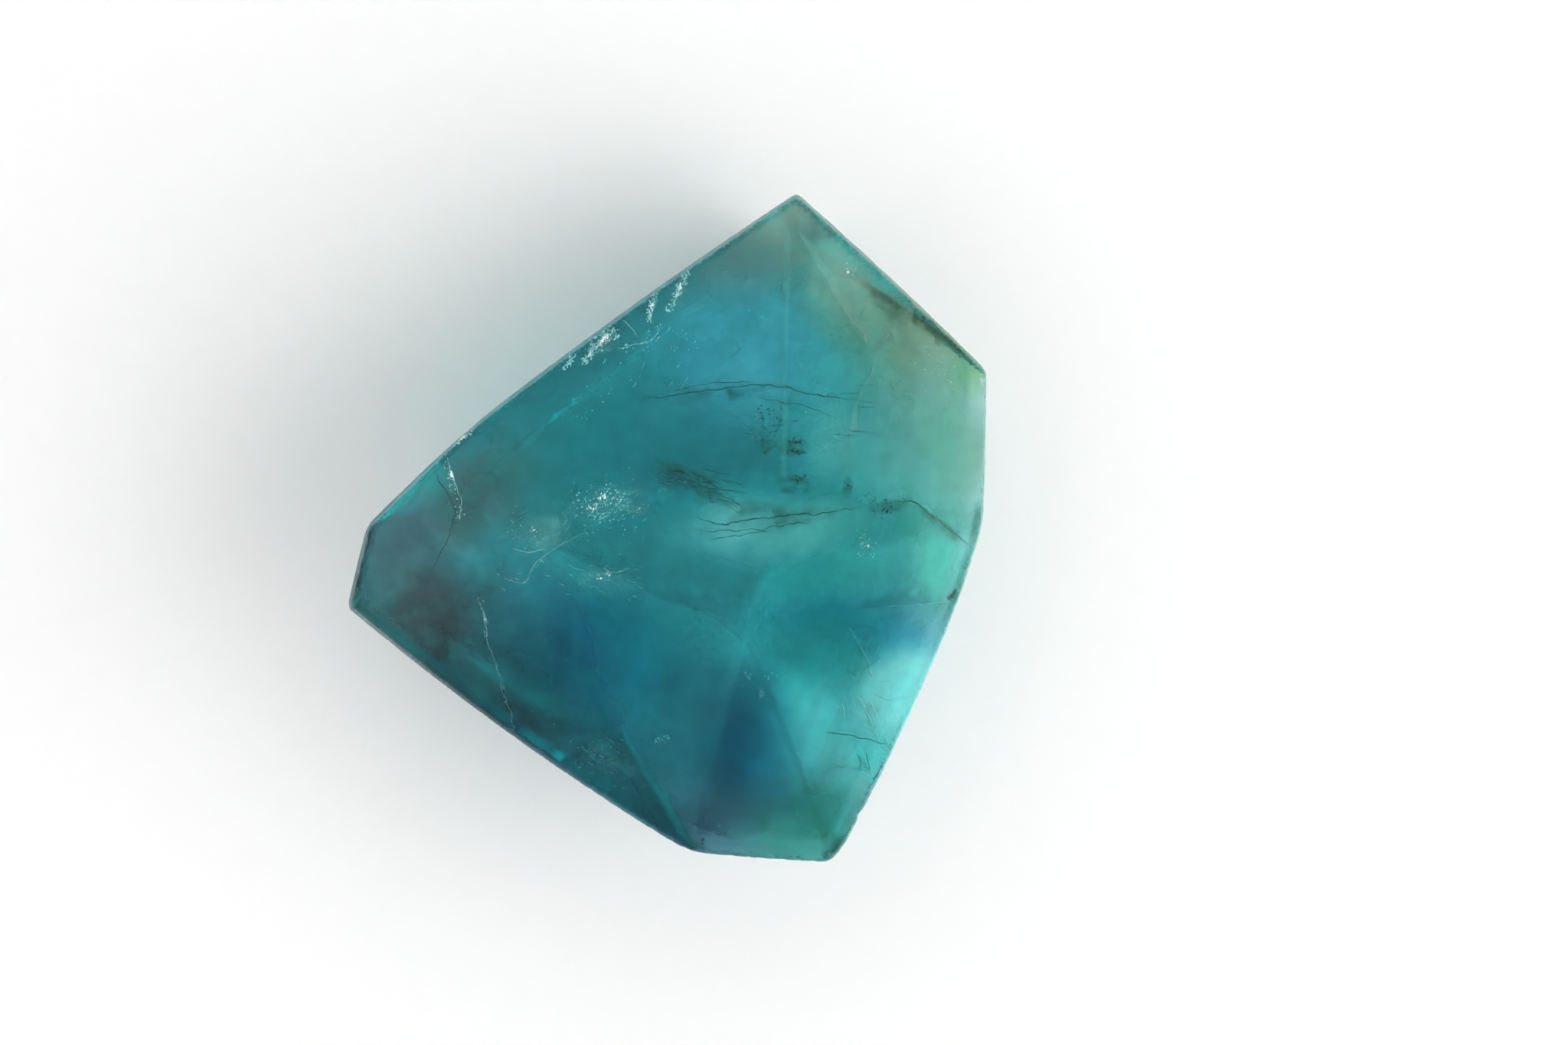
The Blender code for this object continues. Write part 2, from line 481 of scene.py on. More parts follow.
def make_crystal():
    me = make_skin()
    co = points_of(me) / MM + MIDDLE
    normal = surface_normal(co)
    depths = facet_depths(co)
    bitten = -surface(co) > SKIN_INSET + 0.012
    # how close each point is to an edge between two facets, 0..1
    edge = np.clip((np.sort(depths, axis=0)[-2] + 0.40) / 0.40, 0.0, 1.0)
    number_per_point(me, "edge", np.where(bitten, 1.0, edge))
    number_per_point(me, "front", np.clip((depths[0] + 0.90) / 0.3, 0.0, 1.0))
    me.polygons.foreach_set("use_smooth", [True] * len(me.polygons))
    # the facets keep their true normals, the bites show their own small faces
    corner = [Vector(normal[loop.vertex_index]) for loop in me.loops]
    middle = np.array([p.center for p in me.polygons]) / MM + MIDDLE
    inside_bite = -surface(middle) > SKIN_INSET + 0.012
    for p, bite in zip(me.polygons, inside_bite):
        if bite:
            for k in p.loop_indices:
                corner[k] = p.normal.copy()
    me.normals_split_custom_set(corner)
    me.materials.append(crystal_material())
    ob = link(bpy.data.objects.new("crystal", me))
    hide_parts("fluorite")
    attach(ob, "root")
    return ob


# Colour zones of the crystal: seen at (px, py) of the 2048 x 1365 frame, half
# axes in pixels, turn in degrees, colour let through, strength.  They run
# through the stone's whole thickness.  Beside the stone's own colour they hold
# painted shade, darker on the lower left and bottom, and painted light,
# brighter at the mint and aqua places on the right.
BODY_TINT = (0.60, 0.96, 0.96)
TINTS_AND_PAINTED_SHADING = [
    # name            px    py    rx   ry  turn  colour               strength
    ("left_end",      565,  770, 180, 170,   0, (0.95, 0.90, 0.90), 0.90),
    ("centre",        880,  590, 190, 110,   0, (0.45, 0.88, 0.92), 0.80),
    # painted shade: lower_rim to bottom_right darken the stone's blue and teal
    # on the lower left and bottom
    ("lower_rim",     690,  945, 210, 100, -37, (0.30, 0.36, 0.40), 0.90),
    ("lower_body",    900, 1040, 300, 150, -28, (0.13, 0.37, 0.45), 0.95),
    ("lower_deep",    800,  850, 150, 110, -20, (0.05, 0.50, 0.64), 0.90),
    ("slate",         985,  970,  70, 120,  12, (0.03, 0.27, 0.41), 0.95),
    ("slate_foot",    950, 1070, 120,  60,  10, (0.11, 0.21, 0.29), 0.90),
    ("bottom_right", 1060, 1080, 110,  70,  30, (0.08, 0.41, 0.35), 0.90),
    ("blue_band",    1130,  815, 150,  40,  -4, (0.01, 0.42, 0.68), 0.95),
    ("band_foot",    1080,  850, 100,  60,   0, (0.05, 0.46, 0.44), 0.80),
    ("right_teal",   1110,  720, 130, 130,   0, (0.18, 0.56, 0.50), 0.75),
    ("right_middle", 1165,  570, 100, 100,   0, (0.70, 0.70, 0.66), 0.85),
    # painted light: mint_corner, aqua_low and aqua are made bright where light
    # comes through the thin right rim
    ("mint_corner",  1235,  735,  60,  80,   0, (0.40, 1.00, 0.92), 0.90),
    ("aqua_low",     1145,  985,  70,  60, -25, (0.16, 0.82, 0.76), 0.80),
    ("aqua",         1200,  895,  75,  90, -25, (0.30, 1.00, 0.99), 0.92),
    ("mint_right",   1250,  600,  60, 100,   0, (0.42, 0.70, 0.54), 0.85),
    ("upper_right",  1190,  440, 130, 110, -40, (0.95, 0.78, 0.64), 0.85),
    ("shoulder",     1275,  475,  40,  60, -40, (0.42, 0.76, 0.44), 0.90),
    ("rim_green",    1240,  440,  74,  20, -42, (0.42, 0.72, 0.52), 0.80),
]


def zone_place(px, py, depth=6.0):
    return tuple(float(v) for v in inside(px, py, depth))


def warped(m, pos, amount=2.2, scale=0.16):
    wander = m.noise(pos, scale, 2.0, colour=True)
    off = m.vmath('SCALE', m.vmath('SUBTRACT', wander, (0.5, 0.5, 0.5)),
                  scale=amount * 2.0)
    return m.vmath('ADD', pos, off)


def zone_mask(m, pos, px, py, rx, ry, turn, strength, core=0.25, depth=6.0):
    """1 in the middle of a soft elliptical column, 0 outside it."""
    c = zone_place(px, py, depth)
    fit = m.add("Mapping", vector_type='TEXTURE')
    m.set(fit.inputs["Vector"], pos)
    fit.inputs["Location"].default_value = (c[0], c[1], 0.0)
    fit.inputs["Rotation"].default_value = (0.0, 0.0, math.radians(turn))
    fit.inputs["Scale"].default_value = (rx * 0.05, ry * 0.05, 1e6)
    return m.ramp(m.vmath('LENGTH', fit.outputs[0]), core, 1.25, strength,
                  0.0)


def zoned(m, pos, base, zones):
    colour = base
    for name, px, py, rx, ry, turn, value, strength in zones:
        mask = zone_mask(m, pos, px, py, rx, ry, turn, strength)
        colour = m.mix(mask, colour, value)
    return colour


def crystal_material():
    m = Nodes("fluorite_crystal")
    pos = m.position()
    tint = zoned(m, warped(m, pos), BODY_TINT, TINTS_AND_PAINTED_SHADING)
    mottle = m.ramp(m.noise(pos, 0.45, 4.0, 0.6, 0.4), 0.3, 0.7, 0.86, 1.0)
    tint = m.mix(1.0, tint, m.grey(mottle), 'MULTIPLY')
    # ground and slightly frosted edges between the facets; their colour, from
    # the rim table, is partly painted shade and painted light, and the palest
    # crest is partly a painted highlight
    edge = m.add("Attribute", attribute_name="edge")
    edge_wear_and_shading = m.ramp(edge.outputs["Fac"], 0.12, 0.70)
    edge_wear_and_shading = m.math('MULTIPLY', edge_wear_and_shading,
                  m.ramp(m.noise(pos, 1.6, 3.0), 0.35, 0.7, 0.75, 1.0))
    front = m.add("Attribute", attribute_name="front").outputs["Fac"]
    edge_wear_and_shading = m.math('MULTIPLY', edge_wear_and_shading, m.ramp(front, 0.0, 1.0, 0.42, 1.0))
    rim = zoned(m, pos, RIM_BASE, RIM_COLOURS_AND_PAINTED_SHADING)
    # palest crest of the edges: frosted glass, also a painted highlight along
    # the rim
    bare_and_highlight = m.ramp(edge.outputs["Fac"], 0.80, 1.0, 0.0, 0.30)
    colour = m.mix(edge_wear_and_shading, tint, m.mix(bare_and_highlight, rim, (0.88, 0.82, 0.80)))
    # white and slightly pink spots on the front facet, rougher and less clear:
    # in the middle white feathers at the surface, on the upper left and at the
    # silvery cracks painted glints that stand for the sparkle of the cracks
    sparkle = m.math('ADD', m.math('MULTIPLY', m.noise(
        m.vmath('MULTIPLY', pos, (1.25, 0.8, 1.0)), 9.0, 2.0, 0.6, 0.2), 0.62),
        m.math('MULTIPLY', m.noise(pos, 2.2, 2.0), 0.38))
    white_spots_and_glints = 0.0
    for px, py, rx, ry, turn, cut in WHITE_SPOTS_AND_PAINTED_GLINTS:
        mask = zone_mask(m, pos, px, py, rx, ry, turn, 1.0, 0.1, 0.0)
        level = m.math('SUBTRACT', sparkle, m.math(
            'MULTIPLY', m.math('SUBTRACT', 1.0, mask), 0.35))
        white_spots_and_glints = m.math('MAXIMUM', white_spots_and_glints, m.ramp(level, cut, cut + 0.035))
    white_spots_and_glints = m.math('MULTIPLY', white_spots_and_glints, front)
    colour = m.mix(white_spots_and_glints, colour, m.mix(
        m.ramp(m.noise(pos, 3.1, 1.0), 0.42, 0.58),
        (0.98, 0.90, 0.95), (0.90, 0.98, 0.99)))
    polish = m.noise(pos, 0.9, 5.0, 0.65)
    scratch_pos = m.vmath('MULTIPLY', pos, (3.0, 0.35, 1.0))
    scratch = m.ramp(m.noise(scratch_pos, 3.2, 2.0, 0.4, 0.2), 0.70, 0.78)
    rough = m.math('ADD', m.ramp(polish, 0.3, 0.75, 0.015, 0.05),
                   m.math('MULTIPLY', scratch, 0.05))
    rough = m.math('ADD', rough, m.math('MULTIPLY', edge_wear_and_shading, 0.28))
    rough = m.math('ADD', rough, m.math('MULTIPLY', white_spots_and_glints, 0.25))
    bump = m.add("Bump")
    bump.inputs["Strength"].default_value = 0.10
    bump.inputs["Distance"].default_value = 0.00002
    m.set(bump.inputs["Height"], m.math('ADD', m.noise(pos, 0.5, 2.0),
                                        m.math('MULTIPLY', scratch, -0.4)))
    b = m.principled(Base_Color=colour, Roughness=rough, IOR=1.434,
                     Normal=bump.outputs[0])
    solid = m.math('MAXIMUM', m.math('MULTIPLY', edge_wear_and_shading, 0.80),
                   m.math('MULTIPLY', white_spots_and_glints, 0.85))
    # milky front facet at the aqua and mint places, strong enough to paint their
    # glow
    for px, py, rx, ry, turn, strength in MILKY_AND_PAINTED_GLOW:
        milk_and_glow = zone_mask(m, pos, px, py, rx, ry, turn, strength, 0.1, 0.5)
        solid = m.math('MAXIMUM', solid, m.math('MULTIPLY', milk_and_glow, front))
    m.set(b.inputs["Transmission Weight"], m.math('SUBTRACT', 0.985, solid))
    v = m.add("VolumeAbsorption")
    v.inputs["Color"].default_value = ABSORB_COLOUR
    v.inputs["Density"].default_value = ABSORB_DENSITY
    m.tree.links.new(v.outputs[0], m.out.inputs["Volume"])
    return m.material


# Colour of the frosted edges by place: painted shade, near black on the lower
# left and at the foot, and painted light, bright at the aqua on the right.
RIM_BASE = (0.04, 0.24, 0.30)
RIM_COLOURS_AND_PAINTED_SHADING = [
    ("apex_sage",    1045,  300, 190, 130, -10, (0.22, 0.32, 0.26), 1.0),
    ("right_sage",   1180,  420, 160, 130, -40, (0.20, 0.36, 0.26), 1.0),
    ("right_mint",   1260,  640,  90, 190,   0, (0.24, 0.56, 0.46), 1.0),
    ("left_end",      520,  720, 110, 110,   0, (0.08, 0.16, 0.20), 1.0),
    ("dark_left",     690,  950, 300, 100, -38, (0.04, 0.09, 0.11), 1.0),
    ("foot",          960, 1110, 130,  50,   0, (0.04, 0.14, 0.18), 1.0),
    ("bottom_green", 1100, 1080,  90, 100,  30, (0.08, 0.32, 0.27), 1.0),
    ("aqua",         1200,  890, 100, 130, -25, (0.26, 0.70, 0.68), 1.0),
]

# where the milkiness comes up to the front facet, at the aqua and mint places,
# where it also paints the glow of light through the thin right rim: the last is
# its strength
MILKY_AND_PAINTED_GLOW = [(1205, 888, 80, 105, -25, 0.38), (1238, 735, 60, 90, 0, 0.09)]

# white spots at the surface; those at the silvery cracks on the upper left are
# painted glints
WHITE_SPOTS_AND_PAINTED_GLINTS = [
    # px, py, half axes in px, turn, how much of it is white (lower = more)
    (788, 444, 20, 9, 42, 0.47), (770, 464, 13, 5, 54, 0.50),
    (745, 475, 11, 4, 49, 0.52), (851, 403, 20, 6, 76, 0.50),
    (885, 381, 30, 7, 62, 0.51), (846, 446, 20, 5, 28, 0.56),
    (600, 575, 26, 5, 32, 0.50), (591, 622, 34, 5, -73, 0.52),
    (1283, 497, 9, 16, 0, 0.52), (1107, 354, 5, 9, 0, 0.50),
    (785, 648, 20, 12, 0, 0.53), (807, 651, 10, 9, 0, 0.52),
    (775, 662, 40, 16, 10, 0.555), (835, 668, 30, 12, 10, 0.565),
    (785, 752, 46, 12, 8, 0.575), (703, 692, 50, 8, 4, 0.57),
    (676, 720, 12, 7, -25, 0.54), (634, 805, 5, 14, 0, 0.50),
    (1131, 712, 10, 16, 0, 0.565),
]

ABSORB_COLOUR = (0.10, 0.955, 0.96, 1.0)
ABSORB_DENSITY = 260.0

# ---------------------------------------------------------------------------
# Clouds: soft milky sheets sealed in the crystal; in places their colour and
# thickness are painted shade on the lower left and bottom, and painted light at
# the mint and aqua places on the right
# ---------------------------------------------------------------------------
CLOUD_BASE = (0.09, 0.52, 0.60)
CLOUD_COLOURS_AND_PAINTED_SHADING = [
    ("centre_teal",   880,  600, 150,  90,   0, (0.05, 0.42, 0.54), 0.90),
    ("left_green",    650,  650, 130,  70,  30, (0.30, 0.25, 0.26), 0.95),
    ("green_band",   1020,  700, 150,  50,   0, (0.78, 0.96, 0.96), 0.95),
    ("apex_sage",    1045,  300, 170, 110, -10, (0.92, 0.54, 0.41), 0.95),
    ("right_sage",   1180,  420, 160, 130, -40, (0.60, 0.54, 0.38), 0.95),
    ("right_mint",   1240,  600,  90, 150,   0, (0.44, 0.66, 0.52), 0.90),
    ("sky",           985,  475, 130, 110,  20, (0.32, 0.72, 0.92), 0.95),
    ("upper_haze",    970,  355, 110,  60,  10, (0.54, 0.38, 0.36), 0.90),
    ("rim_green",     900,  350, 150,  22,  38, (0.34, 0.42, 0.36), 0.85),
    # painted shade: left_blue to slate_foot are dark sheets on the lower left
    # and bottom
    ("left_blue",     535,  690,  70,  80,   0, (0.15, 0.22, 0.29), 0.95),
    ("left_grey",     570,  800,  90,  90, -30, (0.15, 0.17, 0.20), 0.95),
    ("deep",          800,  850, 170, 110, -20, (0.03, 0.28, 0.42), 0.95),
    ("dark_left",     640,  900, 240, 120, -38, (0.080, 0.095, 0.112), 0.95),
    ("dark_foot",     830, 1050, 140,  60, -35, (0.20, 0.21, 0.25), 0.95),
    ("slate",         970, 1000,  80, 140,  10, (0.04, 0.26, 0.38), 0.95),
    ("slate_foot",    955, 1075,  80,  40,  10, (0.22, 0.26, 0.32), 0.90),
    ("bottom_green", 1080, 1070, 100,  80,  30, (0.16, 0.46, 0.38), 0.90),
    # painted light: mint_corner and aqua_glow are bright sheets where light
    # comes through the thin right rim
    ("mint_corner",  1235,  735,  60,  90,   0, (0.32, 0.90, 0.76), 0.95),
    ("aqua_glow",    1200,  895,  80, 100, -25, (0.60, 1.00, 0.97), 0.95),
    ("blue_band",    1130,  812, 140,  36,  -4, (0.02, 0.54, 0.72), 0.95),
    ("rim_teal",      745,  485, 260,  50,  39, (0.08, 0.22, 0.30), 0.92),
    # painted shade: a dark sheet on the lower left
    ("deep_left",     700,  830,  90,  70, -50, (0.03, 0.18, 0.24), 0.85),
    ("ridge_haze",   1108,  385,  60,  80, -30, (0.84, 0.74, 0.62), 0.90),
    ("middle_haze",  1095,  590,  60,  60,   0, (0.50, 0.86, 0.84), 0.90),
]
CLOUD_ALPHA_AND_PAINTED_SHADING = [
    ("apex",         1045,  300, 190, 120, -10, 0.82, 1.0),
    ("right",        1190,  440, 170, 150, -40, 0.68, 1.0),
    ("sky",           985,  460, 160, 130,  20, 0.60, 1.0),
    ("rim",           780,  470, 340,  40,  39, 0.62, 1.0),
    ("band",         1030,  700, 150,  60,   0, 1.00, 1.0),
    # painted shade: thick dark sheets on the lower left
    ("dark_left",     680,  930, 270, 150, -38, 0.95, 1.0),
    ("left",          565,  760, 170, 200,   0, 1.15, 1.0),
    ("right_clear",  1140,  800, 130, 110,   0, 0.12, 1.0),
    # painted light: thick bright sheets at the mint and aqua places
    ("mint",         1235,  735,  60,  90,   0, 0.80, 1.0),
    ("aqua_glow",    1200,  892,  80, 100, -25, 1.30, 1.0),
    # painted shade: a thick dark sheet over the bright line that light makes
    # through the lower left edge
    ("streak",        735,  815, 200,  52, -60, 1.00, 1.0),
    ("ridge_haze",   1108,  385,  60,  80, -30, 0.85, 1.0),
    ("middle_haze",  1095,  590,  70,  70,   0, 0.52, 1.0),
    # painted shade: thicker dark sheets at the bottom
    ("slate",         975,  980,  80, 150,  10, 0.58, 1.0),
    ("bottom",       1050, 1080, 130,  80,   0, 0.62, 1.0),
]


def cloud_material(name, seed, gain, alpha_base):
    m = Nodes(name)
    pos = m.position()
    shifted = m.vmath('ADD', warped(m, pos), (seed * 0.35, -seed * 0.3, 0.0))
    colour = zoned(m, shifted, CLOUD_BASE, CLOUD_COLOURS_AND_PAINTED_SHADING)
    colour = m.mix(m.ramp(m.noise(m.vmath('ADD', pos, (seed, 0, 0)), 0.5,
                                  4.0, 0.6), 0.35, 0.75, 0.0, 0.25),
                   colour, (0.16, 0.52, 0.50))
    alpha = alpha_base
    for zone, px, py, rx, ry, turn, value, strength in CLOUD_ALPHA_AND_PAINTED_SHADING:
        mask = zone_mask(m, shifted, px, py, rx, ry, turn, strength)
        alpha = m.lerp(mask, alpha, value)
    billow = m.ramp(m.noise(m.vmath('ADD', pos, (0, seed * 3.0, seed)), 0.20,
                            3.0, 0.52, 0.15), 0.28, 0.68, 0.5, 1.2)
    fade = m.add("Attribute", attribute_name="fade")
    alpha = m.math('MULTIPLY', m.math('MULTIPLY', alpha, billow),
                   m.math('MULTIPLY', fade.outputs["Fac"], gain), clamp=True)
    m.principled(Base_Color=colour, Roughness=0.9, Alpha=alpha,
                 Specular_IOR_Level=0.0)
    return m.material


def make_cloud(name, depth, seed, gain, alpha_base, swell=0.7, tilt=(0, 0),
               soft=0.45):
    step = 0.4
    xs = np.arange(-21.0, 21.01, step)
    ys = np.arange(-22.2, 22.21, step)
    pts = []
    for y in ys:
        for x in xs:
            z = (FRONT_HEIGHT + FRONT_SLOPE * x - depth
                 + tilt[0] * x + tilt[1] * y
                 + swell * fbm((x, y, depth), 0.11, seed, 2))
            pts.append((x, y, z))
    pts = np.array(pts)
    deep = -surface(pts + MIDDLE)
    # the border is drawn in to the line where the sheet lies 0.1 mm deep
    for _ in range(40):
        out = deep < 0.10
        pts[out, :2] -= pts[out, :2] / np.maximum(
            np.linalg.norm(pts[out, :2], axis=1), 1.0)[:, None] * 0.025
        deep[out] = -surface(pts[out] + MIDDLE)
    nx = len(xs)
    bm = bmesh.new()
    att = bm.verts.layers.float.new("fade")
    verts = {}

    def vert(k):
        if k not in verts:
            v = bm.verts.new(Vector(pts[k]) * MM)
            t = min(1.0, max(0.0, (deep[k] - 0.10) / soft))
            v[att] = t * t * (3 - 2 * t)
            verts[k] = v
        return verts[k]

    for j in range(len(ys) - 1):
        for i in range(nx - 1):
            k = j * nx + i
            corner = (k, k + 1, k + nx + 1, k + nx)
            if min(deep[c] for c in corner) > 0.095 and \
                    max(deep[c] for c in corner) > 0.13:
                bm.faces.new([vert(c) for c in corner]).smooth = True
    me = bpy.data.meshes.new(name)
    bm.to_mesh(me)
    bm.free()
    me.materials.append(cloud_material(name, seed, gain, alpha_base))
    ob = link(bpy.data.objects.new(name, me))
    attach(ob, "root")
    return ob


def make_clouds():
    make_cloud("cloud_upper", 1.0, 1.0, 0.80, 0.16, swell=0.3)
    make_cloud("cloud_middle", 3.6, 4.0, 0.75, 0.22, swell=1.2,
               tilt=(0.03, -0.02), soft=0.9)
    make_cloud("cloud_lower", 6.8, 7.0, 0.80, 0.22, swell=1.5,
               tilt=(-0.02, 0.04), soft=1.2)


# ---------------------------------------------------------------------------
# What is sealed in the crystal.  Every point is given by where it is seen
# through the front (pixels of the 2048 x 1365 frame) and its depth in mm.
# ---------------------------------------------------------------------------
NEARNESS = 0.55                # the depths below are scaled by this


def smooth_path(corners, depth, step=0.18, wander=0.05, seed=1.0):
    """A gently wandering path inside the stone through the given corners."""
    pts = [Vector(inside(c[0], c[1], depth * NEARNESS)) for c in corners]
    path = []
    for i in range(len(pts) - 1):
        a = pts[max(i - 1, 0)]
        b, c = pts[i], pts[i + 1]
        d = pts[min(i + 2, len(pts) - 1)]
        n = max(2, int((c - b).length / step))
        for k in range(n):
            t = k / n
            path.append(0.5 * ((2 * b) + (c - a) * t
                               + (2 * a - 5 * b + 4 * c - d) * t * t
                               + (3 * b - 3 * c + d - a) * t ** 3))
    path.append(pts[-1])
    out = []
    for k, p in enumerate(path):
        w = Vector((fbm(p, 1.1, seed), fbm(p, 1.1, seed + 9.0),
                    fbm(p, 1.1, seed + 17.0)))
        out.append(keep_in(p + w * wander * 2.0))
    return out


def keep_in(p, margin=0.10):
    """Draws a point towards the core until it lies inside the skin."""
    q = Vector(p)
    core = Vector(CORE)
    for _ in range(60):
        if depth_in(np.array(q)) > margin:
            break
        q = q + (core - q) * 0.01
    return q


def add_tube(bm, path, radius, sides=5, seed=0.0, ends=0.15):
    """A closed thin thread along a path, thinner at its ends."""
    rings = []
    n = len(path)
    for k, p in enumerate(path):
        a = path[max(k - 1, 0)]
        b = path[min(k + 1, n - 1)]
        d = (b - a).normalized()
        side = d.cross(Vector((0.3, 0.2, 1.0))).normalized()
        up = side.cross(d)
        t = k / max(1, n - 1)
        taper = ends + (1 - ends) * min(1.0, 6 * t, 6 * (1 - t))
        r = radius * taper * (1.0 + 0.5 * fbm(p, 2.3, seed))
        rings.append([bm.verts.new((p + (side * math.cos(2 * math.pi * s
                                                         / sides)
                                         + up * math.sin(2 * math.pi * s
                                                         / sides)) * r) * MM)
                      for s in range(sides)])
    for k in range(n - 1):
        for s in range(sides):
            bm.faces.new((rings[k][s], rings[k][(s + 1) % sides],
                          rings[k + 1][(s + 1) % sides],
                          rings[k + 1][s])).smooth = True
    bm.faces.new(rings[0][::-1])
    bm.faces.new(rings[-1])


def add_curtain(bm, fade, path, drop, rows=7, wave=0.12, seed=0.0,
                edge=0.25):
    """A fracture: the path's line carried into the stone along drop."""
    n = len(path)
    drop = Vector(drop)
    grid = []
    for j in range(rows):
        v = j / (rows - 1)
        row = []
        for k, p in enumerate(path):
            t = k / max(1, n - 1)
            ragged = 0.75 + 0.45 * fbm(p, 0.9, seed + 3.0)
            q = p + drop * v * ragged
            q = q + Vector((fbm(q, 0.8, seed), fbm(q, 0.8, seed + 5.0), 0)) \
                * wave * 2.0 * v
            vert = bm.verts.new(keep_in(q) * MM)
            f = min(1.0, t / edge, (1 - t) / edge) * (1.0 - v) ** 0.8
            vert[fade] = max(0.0, f)
            row.append(vert)
        grid.append(row)
    for j in range(rows - 1):
        for k in range(n - 1):
            bm.faces.new((grid[j][k], grid[j][k + 1], grid[j + 1][k + 1],
                          grid[j + 1][k])).smooth = True


def add_patch(bm, fade, px, py, rx, ry, turn, depth, lean=(0.0, 0.0),
              rings=7, spokes=22, wave=0.18, seed=0.0):
    """A soft-edged leaf lying inside the stone; radii in pixels."""
    c = Vector(inside(px, py, depth * NEARNESS))
    rx, ry = rx * 0.05, ry * 0.05
    a = math.radians(turn)
    rows = []
    for i in range(rings + 1):
        r = i / rings
        row = []
        for s in range(spokes if i else 1):
            th = 2 * math.pi * s / spokes
            u, v = math.cos(th) * r * rx, math.sin(th) * r * ry
            x = u * math.cos(a) - v * math.sin(a)
            y = u * math.sin(a) + v * math.cos(a)
            ragged = 1.0 + 0.35 * fbm((th * 1.3, seed, i * 0.2), 1.0, seed)
            q = c + Vector((x * ragged, y * ragged,
                            lean[0] * x + lean[1] * y))
            q.z += wave * fbm(q, 0.7, seed)
            vert = bm.verts.new(keep_in(q) * MM)
            vert[fade] = max(0.0, 1.0 - r) ** 0.8 if r < 1 else 0.0
            row.append(vert)
        rows.append(row)
    for s in range(spokes):
        bm.faces.new((rows[0][0], rows[1][s],
                      rows[1][(s + 1) % spokes])).smooth = True
    for i in range(1, rings):
        for s in range(spokes):
            t = (s + 1) % spokes
            bm.faces.new((rows[i][s], rows[i + 1][s], rows[i + 1][t],
                          rows[i][t])).smooth = True


def add_flake(bm, p, size, stretch, turn, tilt, tilt_turn, rng):
    """A thin closed chip of a fracture face, irregular and slightly domed."""
    rot = (Matrix.Rotation(tilt_turn, 3, 'Z') @ Matrix.Rotation(tilt, 3, 'X')
           @ Matrix.Rotation(-tilt_turn, 3, 'Z')
           @ Matrix.Rotation(turn, 3, 'Z'))
    n = rng.randint(5, 8)
    rim_up, rim_low = [], []
    for k in range(n):
        th = 2 * math.pi * (k + rng.uniform(-0.25, 0.25)) / n
        r = size * rng.uniform(0.65, 1.2)
        flat = Vector((math.cos(th) * r * stretch, math.sin(th) * r, 0.0))
        rim_up.append(bm.verts.new((p + rot @ flat) * MM))
        rim_low.append(bm.verts.new((p + rot @ (flat * 0.96 - Vector(
            (0, 0, size * 0.05)))) * MM))
    top = bm.verts.new((p + rot @ Vector((0, 0, size * 0.10))) * MM)
    low = bm.verts.new((p + rot @ Vector((0, 0, -size * 0.06))) * MM)
    for k in range(n):
        j = (k + 1) % n
        bm.faces.new((top, rim_up[k], rim_up[j]))
        bm.faces.new((low, rim_low[j], rim_low[k]))
        bm.faces.new((rim_up[k], rim_low[k], rim_low[j], rim_up[j]))


def add_crumb(bm, p, size, rng, flat=0.6):
    made = bmesh.ops.create_icosphere(bm, subdivisions=1, radius=1.0)
    turn = Matrix.Rotation(rng.uniform(0, 6.28), 3, 'Z')
    for v in made["verts"]:
        q = v.co * rng.uniform(0.7, 1.25) * size
        q = turn @ Vector((q.x * rng.uniform(0.9, 1.5), q.y, q.z * flat))
        v.co = (p + q) * MM


def scatter_line(corners, depth, count, spread, rng):
    """Points strewn along a line of pixels, spread in pixels."""
    out = []
    legs = list(zip(corners[:-1], corners[1:]))
    lengths = [math.dist(a[:2], b[:2]) for a, b in legs]
    for _ in range(count):
        pick = rng.uniform(0, sum(lengths))
        for (a, b), length in zip(legs, lengths):
            if pick <= length:
                break
            pick -= length
        t = pick / length
        px = a[0] + (b[0] - a[0]) * t + rng.gauss(0, spread)
        py = a[1] + (b[1] - a[1]) * t + rng.gauss(0, spread)
        out.append(keep_in(Vector(inside(px, py,
                                         depth * NEARNESS
                                         * rng.uniform(0.6, 1.5)))))
    return out


def finish_piece(name, bm, material):
    me = bpy.data.meshes.new(name)
    bm.to_mesh(me)
    bm.free()
    me.materials.append(material)
    ob = link(bpy.data.objects.new(name, me))
    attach(ob, "root")
    return ob


def soft_material(name, colour_a, colour_b, alpha, grain=1.2, contrast=0.5,
                  rough=0.85, metal=0.0, specular=0.2):
    """A soft-edged sheet: two tones, and gaps torn in it by noise."""
    m = Nodes(name)
    pos = m.position()
    tone = m.noise(pos, grain * 0.6, 3.0, 0.55, 0.3)
    tear = m.ramp(m.noise(pos, grain, 4.0, 0.62, 0.5), 0.5 - contrast * 0.3,
                  0.5 + contrast * 0.3)
    fade = m.add("Attribute", attribute_name="fade")
    edge = m.ramp(fade.outputs["Fac"], 0.0, 0.75)
    a = m.math('MULTIPLY', m.math('MULTIPLY', edge, tear), alpha, clamp=True)
    m.principled(Base_Color=m.mix(tone, colour_a, colour_b), Roughness=rough,
                 Metallic=metal, Specular_IOR_Level=specular, Alpha=a)
    return m.material


def solid_material(name, colour_a, colour_b, rough=0.5, metal=0.0,
                   grain=3.0, specular=0.5):
    m = Nodes(name)
    pos = m.position()
    tone = m.ramp(m.noise(pos, grain, 3.0, 0.6), 0.35, 0.65)
    r = m.ramp(m.noise(pos, grain * 2.0, 2.0), 0.3, 0.7, rough * 0.7,
               min(1.0, rough * 1.2))
    m.principled(Base_Color=m.mix(tone, colour_a, colour_b), Roughness=r,
                 Metallic=metal, Specular_IOR_Level=specular)
    return m.material


